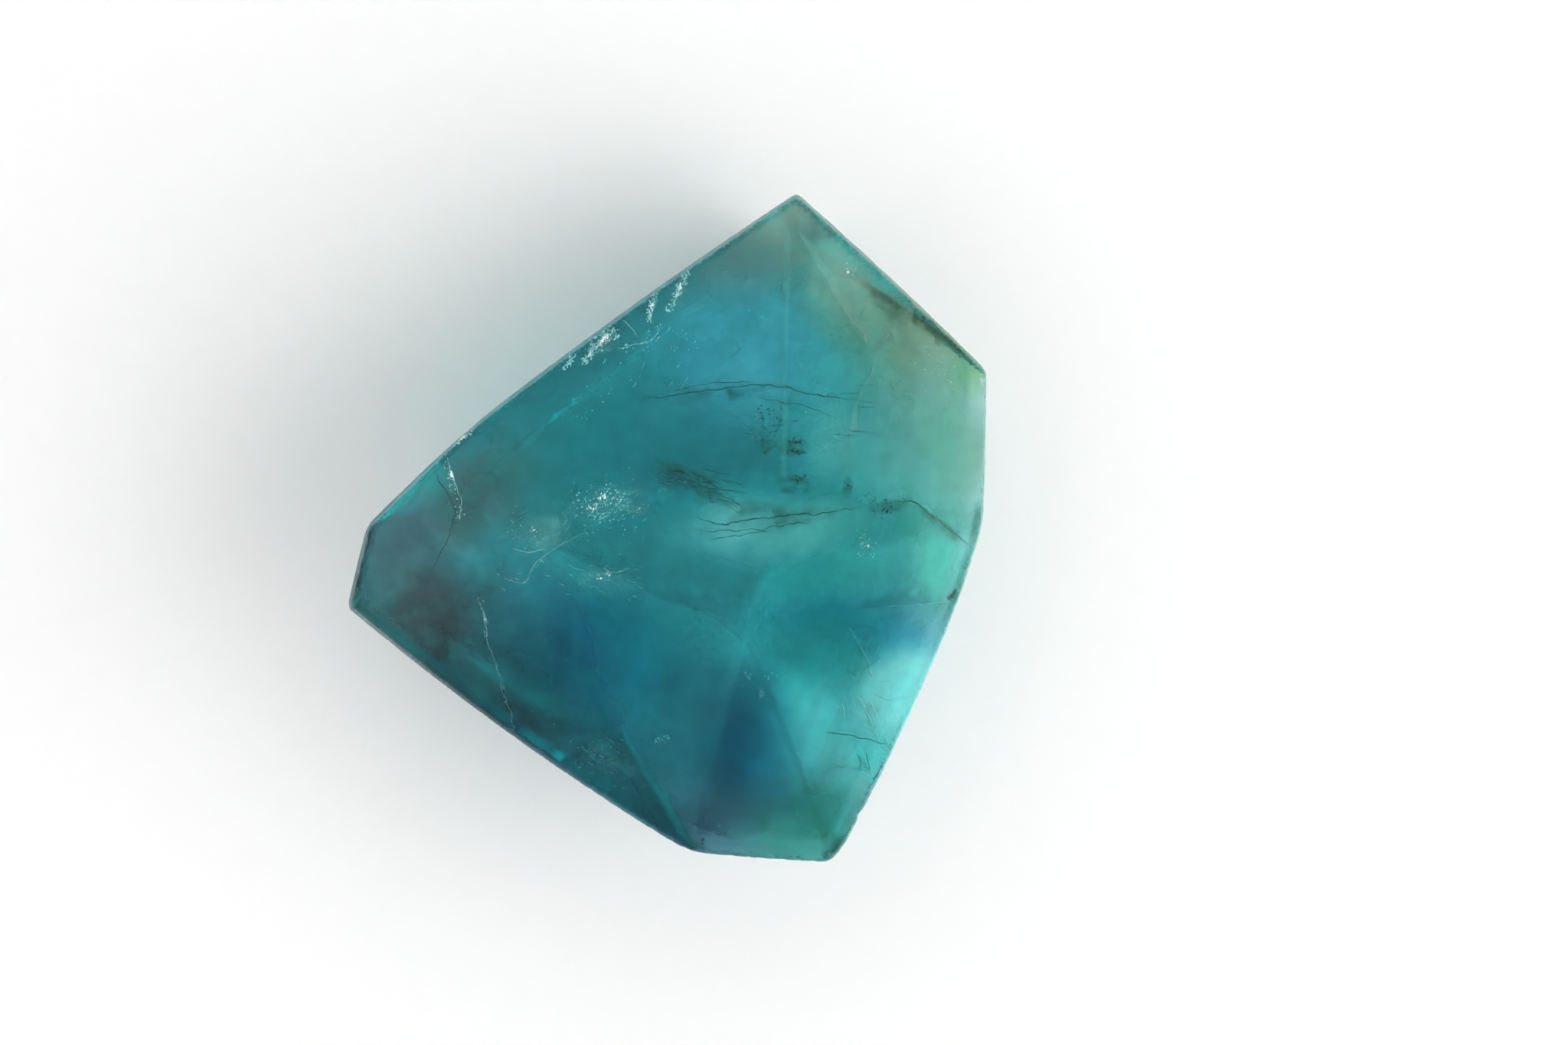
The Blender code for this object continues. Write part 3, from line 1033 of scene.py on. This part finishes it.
def iridescent_material(name):
    """Thin air-filled cracks: silvery, with pink and cyan in places."""
    m = Nodes(name)
    pos = m.position()
    hue = m.noise(pos, 2.6, 2.0, 0.5, 0.4)
    c = m.mix(m.ramp(hue, 0.50, 0.64), (1.0, 0.98, 0.98), (0.62, 0.94, 0.98))
    c = m.mix(m.ramp(hue, 0.30, 0.44, 1.0, 0.0), c, (0.98, 0.72, 0.86))
    m.principled(Base_Color=c, Roughness=0.30, Metallic=0.15,
                 Specular_IOR_Level=0.8)
    return m.material


def make_silver_flakes():
    rng = random.Random(11)
    bm = bmesh.new()
    groups = [
        # line of pixels, depth, count, spread px, size mm, stretch, turn
        ([(777, 454), (801, 432)], 0.40, 110, 4.5, 0.055, 1.8, 42),
        ([(763, 474), (778, 453)], 0.45, 60, 2.6, 0.045, 2.2, 54),
        ([(738, 482), (751, 467)], 0.45, 34, 1.8, 0.040, 2.4, 50),
        ([(846, 420), (853, 386)], 0.50, 60, 2.4, 0.045, 1.8, 78),
        ([(836, 452), (856, 440), (862, 424)], 0.60, 26, 4.0, 0.035, 1.6, 30),
        ([(872, 408), (884, 386), (898, 357)], 0.60, 70, 2.4, 0.040, 2.2, 60),
        ([(812, 456), (834, 450)], 0.70, 8, 3.0, 0.05, 1.6, 15),
        ([(790, 642), (816, 664)], 0.90, 60, 7.0, 0.050, 1.5, 30),
        ([(760, 656), (784, 678)], 1.00, 44, 8.0, 0.045, 1.6, 40),
        ([(1126, 700), (1136, 722)], 1.20, 34, 5.0, 0.045, 1.6, 60),
        ([(580, 582), (620, 560)], 0.22, 50, 3.0, 0.045, 1.4, 30),
    ]
    for line, depth, count, spread, size, stretch, turn in groups:
        for p in scatter_line(line, depth, count, spread, rng):
            add_flake(bm, p, size * rng.uniform(0.5, 1.4),
                      stretch * rng.uniform(0.7, 1.3),
                      math.radians(turn + rng.gauss(0, 22)),
                      math.radians(rng.uniform(4, 34)),
                      rng.uniform(0, 2 * math.pi), rng)
    finish_piece("silver_flakes", bm, iridescent_material("silver_crack"))


def make_pale_flecks():
    """White crumbs and dust caught in the stone."""
    rng = random.Random(23)
    bm = bmesh.new()
    groups = [
        ([(735, 690), (860, 640)], 1.4, 60, 22.0, 0.028),
        ([(760, 640), (820, 690)], 1.2, 60, 20.0, 0.030),
        ([(976, 884), (979, 882)], 1.6, 7, 3.0, 0.060),
        ([(992, 909), (995, 908)], 1.6, 9, 3.0, 0.070),
        ([(1003, 880), (1007, 886)], 1.6, 5, 4.0, 0.050),
        ([(862, 966), (868, 962)], 1.8, 8, 4.0, 0.065),
        ([(830, 740), (760, 760)], 1.2, 34, 12.0, 0.026),
        ([(665, 690), (750, 700)], 1.0, 46, 12.0, 0.024),
        ([(745, 960), (815, 1015)], 1.4, 44, 14.0, 0.024),
        ([(786, 520), (800, 510)], 0.6, 10, 8.0, 0.030),
        ([(892, 455), (905, 462)], 0.8, 14, 12.0, 0.028),
        ([(745, 530), (765, 545)], 0.6, 14, 10.0, 0.024),
        ([(583, 600), (603, 680)], 0.4, 40, 3.5, 0.034),
        ([(660, 755), (688, 760), (694, 746), (718, 721), (770, 696)], 0.6,
         60, 1.6, 0.022),
        ([(625, 778), (633, 808), (635, 830)], 0.6, 26, 1.6, 0.026),
        ([(645, 860), (660, 908), (670, 950)], 0.6, 22, 1.8, 0.020),
        ([(1107, 352), (1112, 360)], 0.6, 8, 4.0, 0.040),
        ([(1190, 470), (1250, 500)], 1.2, 30, 16.0, 0.024),
        ([(700, 600), (1150, 500)], 1.6, 70, 110.0, 0.018),
        ([(700, 900), (1050, 850)], 2.0, 60, 110.0, 0.018),
    ]
    for line, depth, count, spread, size in groups:
        for p in scatter_line(line, depth, count, spread, rng):
            add_crumb(bm, p, size * rng.uniform(0.5, 1.5), rng)
    finish_piece("pale_flecks", bm, solid_material(
        "white_crumbs", (0.80, 0.88, 0.86), (0.95, 0.97, 0.96), 0.6))


def make_dark_specks():
    rng = random.Random(31)
    bm = bmesh.new()
    groups = [
        ([(988, 548), (1018, 540)], 1.0, 38, 8.0, 0.040),
        ([(1000, 556), (1006, 566)], 1.0, 16, 6.0, 0.034),
        ([(1060, 500), (1072, 508)], 1.0, 14, 5.0, 0.032),
        ([(970, 562), (988, 568)], 1.1, 12, 5.0, 0.030),
        ([(1126, 658), (1188, 652)], 0.9, 64, 7.0, 0.036),
        ([(1150, 664), (1170, 670)], 0.9, 22, 5.0, 0.042),
        ([(586, 678), (592, 682)], 0.8, 4, 3.0, 0.050),
        ([(1032, 578), (1046, 577)], 0.9, 40, 2.2, 0.046),
        ([(1032, 590), (1050, 591)], 0.9, 40, 2.2, 0.046),
        ([(1030, 624), (1048, 626)], 1.1, 50, 3.4, 0.046),
        ([(996, 577), (1005, 576)], 0.9, 18, 2.0, 0.036),
        ([(997, 590), (1005, 590)], 0.9, 18, 2.0, 0.036),
        ([(1106, 625), (1110, 642)], 1.2, 26, 2.2, 0.036),
        ([(862, 612), (935, 648)], 1.0, 90, 7.0, 0.028),
        ([(915, 1100), (919, 1104)], 0.8, 4, 2.5, 0.060),
        ([(1246, 775), (1254, 786)], 0.5, 16, 4.0, 0.040),
        ([(880, 505), (1060, 512)], 1.2, 40, 6.0, 0.020),
        ([(905, 655), (1000, 690)], 1.3, 40, 14.0, 0.022),
        ([(1196, 882), (1219, 868), (1221, 856)], 0.5, 46, 2.6, 0.022),
        ([(1160, 889), (1180, 888)], 0.5, 12, 2.0, 0.016),
        ([(1156, 912), (1203, 907)], 0.5, 30, 1.8, 0.018),
        ([(1213, 833), (1233, 815)], 0.6, 26, 5.0, 0.020),
        ([(1262, 738), (1260, 742)], 0.3, 10, 2.0, 0.034),
        ([(1120, 985), (1136, 1008)], 0.8, 18, 7.0, 0.024),
        ([(640, 640), (860, 560)], 1.6, 24, 60.0, 0.022),
    ]
    for line, depth, count, spread, size in groups:
        for p in scatter_line(line, depth, count, spread, rng):
            add_crumb(bm, p, size * rng.uniform(0.5, 1.4), rng)
    finish_piece("dark_specks", bm, solid_material(
        "dark_crumbs", (0.012, 0.030, 0.028), (0.03, 0.06, 0.05), 0.7,
        specular=0.2))


def make_dark_threads():
    rng = random.Random(41)
    bm = bmesh.new()
    lines = [
        # corners, depth, radius mm, wander mm
        ([(838, 522), (900, 514), (960, 506), (1010, 504), (1060, 515),
          (1120, 522)], 1.1, 0.030, 0.08),
        ([(870, 512), (930, 500), (985, 500)], 1.3, 0.020, 0.08),
        ([(985, 520), (1040, 528), (1090, 545)], 1.4, 0.020, 0.08),
        ([(900, 672), (940, 684), (985, 680), (1030, 672), (1090, 668),
          (1126, 660)], 1.2, 0.034, 0.10),
        ([(905, 690), (950, 694), (1000, 690), (1060, 682)], 1.6, 0.024, 0.1),
        ([(925, 705), (960, 700), (1010, 692)], 1.5, 0.020, 0.08),
        ([(1160, 655), (1192, 657), (1214, 672), (1240, 692), (1268, 714)],
         0.8, 0.034, 0.07),
        ([(1175, 650), (1204, 662), (1230, 690)], 0.9, 0.020, 0.06),
        ([(1144, 890), (1160, 890), (1180, 888)], 0.6, 0.014, 0.05),
        ([(1141, 907), (1156, 912), (1169, 914), (1187, 911), (1203, 907)],
         0.5, 0.018, 0.05),
        ([(1196, 882), (1208, 875), (1219, 868)], 0.5, 0.020, 0.06),
        ([(1074, 955), (1110, 960), (1166, 974)], 0.8, 0.024, 0.05),
        ([(1118, 984), (1124, 996), (1122, 1008)], 0.7, 0.022, 0.05),
        ([(1130, 982), (1134, 994), (1137, 1006)], 0.7, 0.018, 0.05),
        ([(1208, 842), (1214, 852), (1210, 862)], 0.7, 0.020, 0.05),
        ([(564, 607), (577, 633), (591, 653), (592, 684), (579, 717),
          (566, 742)], 1.0, 0.030, 0.07),
        ([(1010, 540), (1018, 552), (1014, 566)], 1.0, 0.016, 0.06),
        ([(1000, 590), (1012, 584), (1024, 588)], 1.2, 0.016, 0.04),
    ]
    for k, (corners, depth, radius, wander) in enumerate(lines):
        add_tube(bm, smooth_path(corners, depth, 0.16, wander, 2.0 + k),
                 radius, seed=k)
    for _ in range(36):       # short dark needles in the middle
        px = rng.uniform(856, 955)
        py = 628 + (px - 905) * 0.28 + rng.gauss(0, 11)
        length = rng.uniform(10, 30)
        slope = rng.uniform(0.15, 0.6)
        add_tube(bm, smooth_path([(px, py), (px + length * 0.5,
                                             py + length * slope * 0.4),
                                  (px + length, py + length * slope)],
                                 rng.uniform(0.9, 1.8), 0.14, 0.02,
                                 rng.uniform(0, 50)),
                 rng.uniform(0.010, 0.024))
    for _ in range(26):       # faint level needles near the top middle
        px, py = rng.uniform(950, 1120), rng.uniform(490, 570)
        length = rng.uniform(10, 34)
        add_tube(bm, smooth_path([(px, py), (px + length, py
                                             + rng.uniform(-2, 6))],
                                 rng.uniform(1.0, 2.4), 0.14, 0.02,
                                 rng.uniform(0, 50)),
                 rng.uniform(0.008, 0.016))
    finish_piece("dark_threads", bm, solid_material(
        "dark_needles", (0.02, 0.07, 0.065), (0.035, 0.10, 0.09), 0.6,
        specular=0.2))


def make_pale_threads():
    rng = random.Random(53)
    bm = bmesh.new()
    lines = [
        ([(625, 778), (633, 808), (635, 830), (645, 860), (660, 908),
          (668, 940), (674, 962)], 0.7, 0.012, 0.09),
        ([(660, 755), (673, 760), (688, 760), (694, 746), (702, 733),
          (718, 721), (745, 704), (770, 696)], 0.6, 0.013, 0.05),
        ([(668, 716), (690, 722), (712, 716)], 0.7, 0.018, 0.05),
        ([(583, 598), (592, 625), (600, 650), (603, 682)], 0.4, 0.016, 0.09),
        ([(1109, 820), (1126, 849), (1134, 867), (1141, 888)], 0.9, 0.040, 0.03),
        ([(1121, 910), (1134, 934), (1143, 960), (1150, 975)], 0.9, 0.045, 0.03),
        ([(1136, 914), (1141, 924), (1146, 937)], 0.8, 0.028, 0.03),
        ([(1099, 916), (1103, 934), (1101, 950)], 1.2, 0.026, 0.04),
        ([(1149, 792), (1190, 790), (1225, 787), (1252, 785)], 0.6, 0.010, 0.02),
        ([(812, 418), (824, 428), (834, 440)], 0.7, 0.018, 0.05),
        ([(806, 456), (826, 452), (848, 446), (862, 430)], 0.7, 0.016, 0.05),
        ([(742, 738), (752, 743), (764, 744)], 0.8, 0.014, 0.04),
        ([(796, 748), (810, 747), (824, 742)], 0.8, 0.014, 0.04),
    ]
    for k, (corners, depth, radius, wander) in enumerate(lines):
        add_tube(bm, smooth_path(corners, depth, 0.16, wander, 30.0 + k),
                 radius, seed=k + 60)
    fields = [
        # left, right, top, bottom, lean per px, count, length px
        (735, 835, 955, 1015, 0.55, 20, 8),
        (735, 850, 640, 700, -0.8, 26, 7),
        (730, 835, 736, 784, 0.25, 26, 8),
        (770, 900, 430, 520, -1.6, 14, 12),
        (1110, 1160, 860, 950, 1.9, 8, 12),
        (640, 740, 690, 770, 0.3, 16, 7),
    ]
    for x0, x1, y0, y1, lean, count, length in fields:
        for _ in range(count):
            px, py = rng.uniform(x0, x1), rng.uniform(y0, y1)
            span = length * rng.uniform(0.4, 1.2)
            c = math.hypot(1.0, lean)
            dx, dy = span / c, span * (lean + rng.gauss(0, 0.25)) / c
            add_tube(bm, smooth_path([(px, py), (px + dx * 0.5 + 1.0,
                                                 py + dy * 0.5),
                                      (px + dx, py + dy)],
                                     rng.uniform(0.6, 2.2), 0.14, 0.03,
                                     rng.uniform(0, 90)),
                     rng.uniform(0.007, 0.017), sides=4)
    finish_piece("pale_threads", bm, solid_material(
        "pale_needles", (0.72, 0.86, 0.84), (0.92, 0.95, 0.93), 0.5))


def make_fractures():
    """Cracks that run down into the stone, seen almost edge on."""
    bm = bmesh.new()
    fade = bm.verts.layers.float.new("fade")
    sheets = [
        # corners, depth, drop (mm), rows, seed
        ([(625, 775), (633, 808), (636, 832), (646, 862), (661, 912),
          (671, 955)], 0.5, (0.10, 0.03, -1.0), 6, 1.0),
        ([(1030, 335), (1062, 362), (1096, 394), (1120, 430), (1140, 462)],
         0.7, (0.50, -0.35, -5.0), 9, 2.0),
        ([(1140, 462), (1160, 438), (1182, 408), (1204, 398)],
         0.7, (0.30, 0.45, -4.0), 8, 3.0),
        ([(1138, 462), (1140, 486), (1128, 504), (1124, 530), (1120, 566)],
         0.9, (-0.55, 0.0, -4.0), 8, 4.0),
        ([(1160, 655), (1194, 658), (1216, 674), (1240, 692), (1270, 716)],
         0.6, (0.25, 0.55, -3.2), 8, 5.0),
        ([(583, 592), (592, 622), (600, 650), (603, 684)], 0.4,
         (0.10, 0.02, -0.7), 5, 6.0),
        ([(772, 470), (790, 446), (804, 430)], 0.4, (0.9, 0.8, -2.6), 8,
         7.0),
        ([(868, 412), (884, 384), (900, 354)], 0.5, (0.8, 0.4, -3.0), 8,
         8.0),
        ([(844, 424), (850, 404), (856, 384)], 0.5, (0.6, 0.2, -2.4), 8,
         9.0),
        ([(1108, 818), (1126, 850), (1142, 890)], 0.7, (0.35, 0.1, -1.6), 7,
         10.0),
        ([(1119, 904), (1134, 934), (1150, 976)], 0.7, (0.35, 0.1, -1.6), 7,
         11.0),
        ([(1090, 1002), (1120, 1006), (1147, 1014)], 0.8, (0.1, 0.4, -1.6),
         6, 12.0),
    ]
    for corners, depth, drop, rows, seed in sheets:
        add_curtain(bm, fade, smooth_path(corners, depth, 0.2, 0.05, seed),
                    drop, rows, 0.16, seed)
    finish_piece("fracture_sheets", bm, soft_material(
        "fracture_face", (0.55, 0.78, 0.74), (0.86, 0.94, 0.92), 0.55,
        grain=1.6, contrast=0.6, rough=0.35, specular=0.6))


def make_wisps():
    """Pale soft leaves: milky wisps and healed fracture faces."""
    bm = bmesh.new()
    fade = bm.verts.layers.float.new("fade")
    leaves = [
        # px, py, rx, ry, turn, depth, lean
        (790, 655, 70, 34, 12, 1.5, (0.15, 0.1)),
        (806, 652, 26, 18, 0, 1.2, (0.2, -0.1)),
        (782, 760, 60, 24, -5, 1.4, (0.1, 0.2)),
        (700, 700, 60, 28, 20, 1.2, (0.1, 0.1)),
        (790, 448, 30, 16, 40, 0.9, (0.4, 0.2)),
        (886, 380, 12, 34, -28, 1.0, (0.5, 0.1)),
        (1205, 460, 34, 16, 30, 1.6, (0.1, 0.2)),
        (1244, 498, 16, 26, 20, 1.2, (0.1, 0.1)),
        (1165, 520, 40, 60, 15, 2.4, (0.1, 0.1)),
        (1170, 430, 46, 20, 48, 1.2, (0.1, 0.2)),
        (1112, 354, 12, 8, 0, 0.7, (0.1, 0.1)),
        (1130, 712, 16, 20, 0, 1.5, (0.1, 0.1)),
        (866, 964, 14, 12, 0, 1.8, (0.1, 0.1)),
        (780, 985, 70, 26, -30, 1.6, (0.1, 0.1)),
        (994, 908, 16, 12, 0, 1.6, (0.0, 0.1)),
        (978, 884, 12, 10, 0, 1.6, (0.0, 0.1)),
        (1126, 856, 12, 40, -28, 1.4, (0.2, 0.1)),
        (1138, 932, 12, 46, -28, 1.4, (0.2, 0.1)),
        (940, 1075, 70, 34, 10, 1.6, (0.1, 0.1)),
        (1080, 560, 34, 90, 6, 2.6, (0.1, 0.0)),
    ]
    for k, (px, py, rx, ry, turn, depth, lean) in enumerate(leaves):
        add_patch(bm, fade, px, py, rx, ry, turn, depth, lean, seed=k * 3.7)
    finish_piece("pale_wisps", bm, soft_material(
        "milky_wisp", (0.40, 0.72, 0.70), (0.78, 0.92, 0.88), 0.42,
        grain=1.1, contrast=0.8))


def make_blotches():
    """Darker green leaves of included matter."""
    bm = bmesh.new()
    fade = bm.verts.layers.float.new("fade")
    leaves = [
        (1000, 580, 20, 12, 0, 1.4, (0.1, 0.1)),
        (1036, 582, 26, 14, 0, 1.4, (0.1, 0.1)),
        (1030, 592, 22, 8, 0, 1.7, (0.1, 0.1)),
        (1040, 632, 26, 14, 0, 1.6, (0.1, 0.1)),
        (1028, 640, 16, 8, 0, 1.9, (0.1, 0.1)),
        (1106, 640, 8, 22, -14, 1.8, (0.1, 0.1)),
        (905, 628, 60, 20, -16, 1.8, (0.1, 0.1)),
        (880, 612, 30, 12, -26, 1.5, (0.1, 0.1)),
        (935, 650, 34, 12, -18, 1.6, (0.1, 0.1)),
        (1000, 676, 110, 18, 3, 2.2, (0.1, 0.1)),
        (960, 660, 60, 12, -8, 1.9, (0.1, 0.1)),
        (1160, 662, 40, 10, 6, 1.1, (0.1, 0.1)),
        (1235, 692, 44, 10, -36, 1.0, (0.1, 0.1)),
        (1210, 430, 50, 24, -40, 1.6, (0.1, 0.2)),
        (1160, 400, 40, 18, -42, 1.4, (0.1, 0.2)),
        (1255, 440, 26, 22, -40, 1.2, (0.1, 0.2)),
        (930, 515, 110, 14, 6, 2.0, (0.1, 0.1)),
        (1246, 778, 14, 10, 30, 0.8, (0.1, 0.1)),
    ]
    for k, (px, py, rx, ry, turn, depth, lean) in enumerate(leaves):
        add_patch(bm, fade, px, py, rx, ry, turn, depth, lean,
                  seed=50.0 + k * 2.9)
    finish_piece("dark_blotches", bm, soft_material(
        "dark_leaf", (0.008, 0.085, 0.075), (0.02, 0.15, 0.12), 0.55,
        grain=0.9, contrast=0.9))


def make_veils():
    """Flat films that end in a clean line. The dark ones are painted shade and
    the pale ones painted light on either side of the back facets' edges seen
    through the front; the light ones are pale films along the cracks.
    """
    films = {
        # painted shade on one side of the back facets' edges seen through the
        # front
        "dark_veils": [
            # corners, depth, drop (mm)
            ([(970, 843), (967, 872), (951, 926), (937, 981), (913, 1050),
              (911, 1104)], 1.0, (3.6, -0.6, -0.4)),
            ([(1034, 270), (1032, 380), (1030, 460), (1029, 550),
              (1026, 642)], 2.6, (3.4, 0.1, -0.3)),
            ([(971, 842), (942, 815), (905, 794), (860, 780)], 1.7,
             (0.6, 1.8, -0.3)),
            ([(1120, 796), (1190, 790), (1253, 785)], 3.0,
             (0.1, 1.2, -0.3)),
        ],
        # painted light on the other side of those edges
        "pale_veils": [
            ([(969, 843), (966, 872), (950, 926), (936, 981), (913, 1050)],
             1.6, (-1.7, 0.1, -0.1)),
            ([(1033, 290), (1031, 380), (1029, 460), (1028, 550),
              (1025, 640)], 1.4, (-0.65, 0.0, -0.1)),
            ([(1120, 799), (1190, 792), (1253, 787)], 1.0,
             (0.0, -1.0, -0.2)),
        ],
    }
    films["light_veils"] = [
        ([(1040, 300), (1066, 345), (1094, 392), (1116, 430),
          (1139, 460)], 0.9, (0.9, 0.5, -0.2)),
        ([(1140, 463), (1160, 440), (1180, 414), (1200, 403)], 0.8,
         (-0.35, 0.25, -0.2)),
        ([(1142, 464), (1137, 489), (1124, 510), (1114, 537),
          (1110, 570)], 0.9, (0.6, 0.2, -0.2)),
        ([(1108, 818), (1126, 847), (1134, 866), (1142, 891)], 0.9,
         (-0.32, 0.06, -0.1)),
        ([(1118, 906), (1127, 925), (1138, 942), (1146, 966)], 0.8,
         (-0.34, 0.08, -0.1)),
        ([(1137, 915), (1143, 926), (1148, 938)], 0.8, (-0.20, 0.05, -0.1)),
        ([(1098, 914), (1101, 926), (1103, 941)], 0.9, (-0.16, 0.03, -0.1)),
    ]
    looks = {
        "light_veils": ((0.50, 0.70, 0.60), (0.62, 0.78, 0.70), 0.50),
        "dark_veils": ((0.012, 0.16, 0.27), (0.018, 0.20, 0.30), 0.44),
        "pale_veils": ((0.26, 0.66, 0.64), (0.42, 0.78, 0.74), 0.48),
    }
    for seed, (name, rows) in enumerate(films.items()):
        bm = bmesh.new()
        fade = bm.verts.layers.float.new("fade")
        for k, (corners, depth, drop) in enumerate(rows):
            add_curtain(bm, fade, smooth_path(corners, depth, 0.25, 0.02,
                                              60.0 + k + 9 * seed),
                        drop, 7, 0.05, 5.0 + k, edge=0.12)
        a, b, alpha = looks[name]
        finish_piece(name, bm, soft_material(
            name[:-1], a, b, alpha, grain=0.5, contrast=2.4, rough=0.9,
            specular=0.0))


def make_inclusions():
    make_veils()
    make_silver_flakes()
    make_pale_flecks()
    make_dark_specks()
    make_dark_threads()
    make_pale_threads()
    make_fractures()
    make_wisps()
    make_blotches()


# ---------------------------------------------------------------------------
# Floor and light
# ---------------------------------------------------------------------------
def make_floor():
    bm = bmesh.new()
    n, half = 24, 900.0
    rows = [[bm.verts.new(((i / n * 2 - 1) * half * MM,
                           (j / n * 2 - 1) * half * MM, -0.02 * MM))
             for i in range(n + 1)] for j in range(n + 1)]
    for j in range(n):
        for i in range(n):
            bm.faces.new((rows[j][i], rows[j][i + 1],
                          rows[j + 1][i + 1], rows[j + 1][i]))
    me = bpy.data.meshes.new("floor")
    bm.to_mesh(me)
    bm.free()
    m = Nodes("floor_paper")
    grain = m.noise(m.position(), 0.6, 4.0)
    m.principled(Base_Color=m.mix(grain, (0.90, 0.905, 0.91),
                                  (0.92, 0.925, 0.93)),
                 Roughness=0.9)
    me.materials.append(m.material)
    link(bpy.data.objects.new("floor", me))


def make_light():
    world = bpy.data.worlds.new("studio")
    bpy.context.scene.world = world
    world.use_nodes = True
    tree = world.node_tree
    tree.nodes.clear()
    out = tree.nodes.new("ShaderNodeOutputWorld")
    back = tree.nodes.new("ShaderNodeBackground")
    coord = tree.nodes.new("ShaderNodeTexCoord")
    split = tree.nodes.new("ShaderNodeSeparateXYZ")
    tree.links.new(coord.outputs["Generated"], split.inputs[0])

    def ramp(value, a, b, x, y):
        n = tree.nodes.new("ShaderNodeMapRange")
        n.interpolation_type = 'SMOOTHSTEP'
        tree.links.new(value, n.inputs["Value"])
        for key, v in (("From Min", a), ("From Max", b),
                       ("To Min", x), ("To Max", y)):
            n.inputs[key].default_value = v
        return n.outputs["Result"]

    def times(a, b):
        n = tree.nodes.new("ShaderNodeMath")
        n.operation = 'MULTIPLY'
        for socket, v in zip(n.inputs, (a, b)):
            if isinstance(v, bpy.types.NodeSocket):
                tree.links.new(v, socket)
            else:
                socket.default_value = v
        return n.outputs[0]

    def plus(a, b):
        n = tree.nodes.new("ShaderNodeMath")
        tree.links.new(a, n.inputs[0])
        tree.links.new(b, n.inputs[1])
        return n.outputs[0]

    overhead = ramp(split.outputs["Z"], 0.78, 0.96, 1.0, LIGHT_OVERHEAD)
    side = ramp(split.outputs["X"], -0.9, 0.6, LIGHT_LEFT, 1.0)
    dome = times(overhead, side)
    towards = tree.nodes.new("ShaderNodeVectorMath")
    towards.operation = 'DOT_PRODUCT'
    tree.links.new(coord.outputs["Generated"], towards.inputs[0])
    towards.inputs[1].default_value = Vector(KEY_DIRECTION).normalized()
    key = ramp(towards.outputs["Value"], 0.74, 0.98, 0.0, KEY_LEVEL)
    tree.links.new(times(plus(dome, key), LIGHT_LEVEL),
                   back.inputs["Strength"])
    back.inputs["Color"].default_value = (1.0, 0.995, 0.985, 1.0)
    tree.links.new(back.outputs[0], out.inputs["Surface"])


# A dim ceiling, a soft dome that is darker on the left, and one large soft
# source low on the right.
LIGHT_LEVEL = 1.04
LIGHT_OVERHEAD = 0.26
LIGHT_LEFT = 0.85
KEY_DIRECTION = (0.86, -0.30, 0.42)
KEY_LEVEL = 3.0


def main():
    scene = bpy.context.scene
    make_camera()
    make_floor()
    make_light()
    make_crystal()
    make_clouds()
    make_inclusions()

    scene.view_settings.view_transform = 'Standard'
    scene.view_settings.look = 'None'
    c = scene.cycles
    c.max_bounces = 9
    c.transmission_bounces = 9
    c.glossy_bounces = 6
    c.diffuse_bounces = 2
    c.transparent_max_bounces = 24
    c.use_adaptive_sampling = True
    c.adaptive_threshold = 0.10
    c.adaptive_min_samples = 12
    c.caustics_refractive = True
    c.caustics_reflective = True


main()
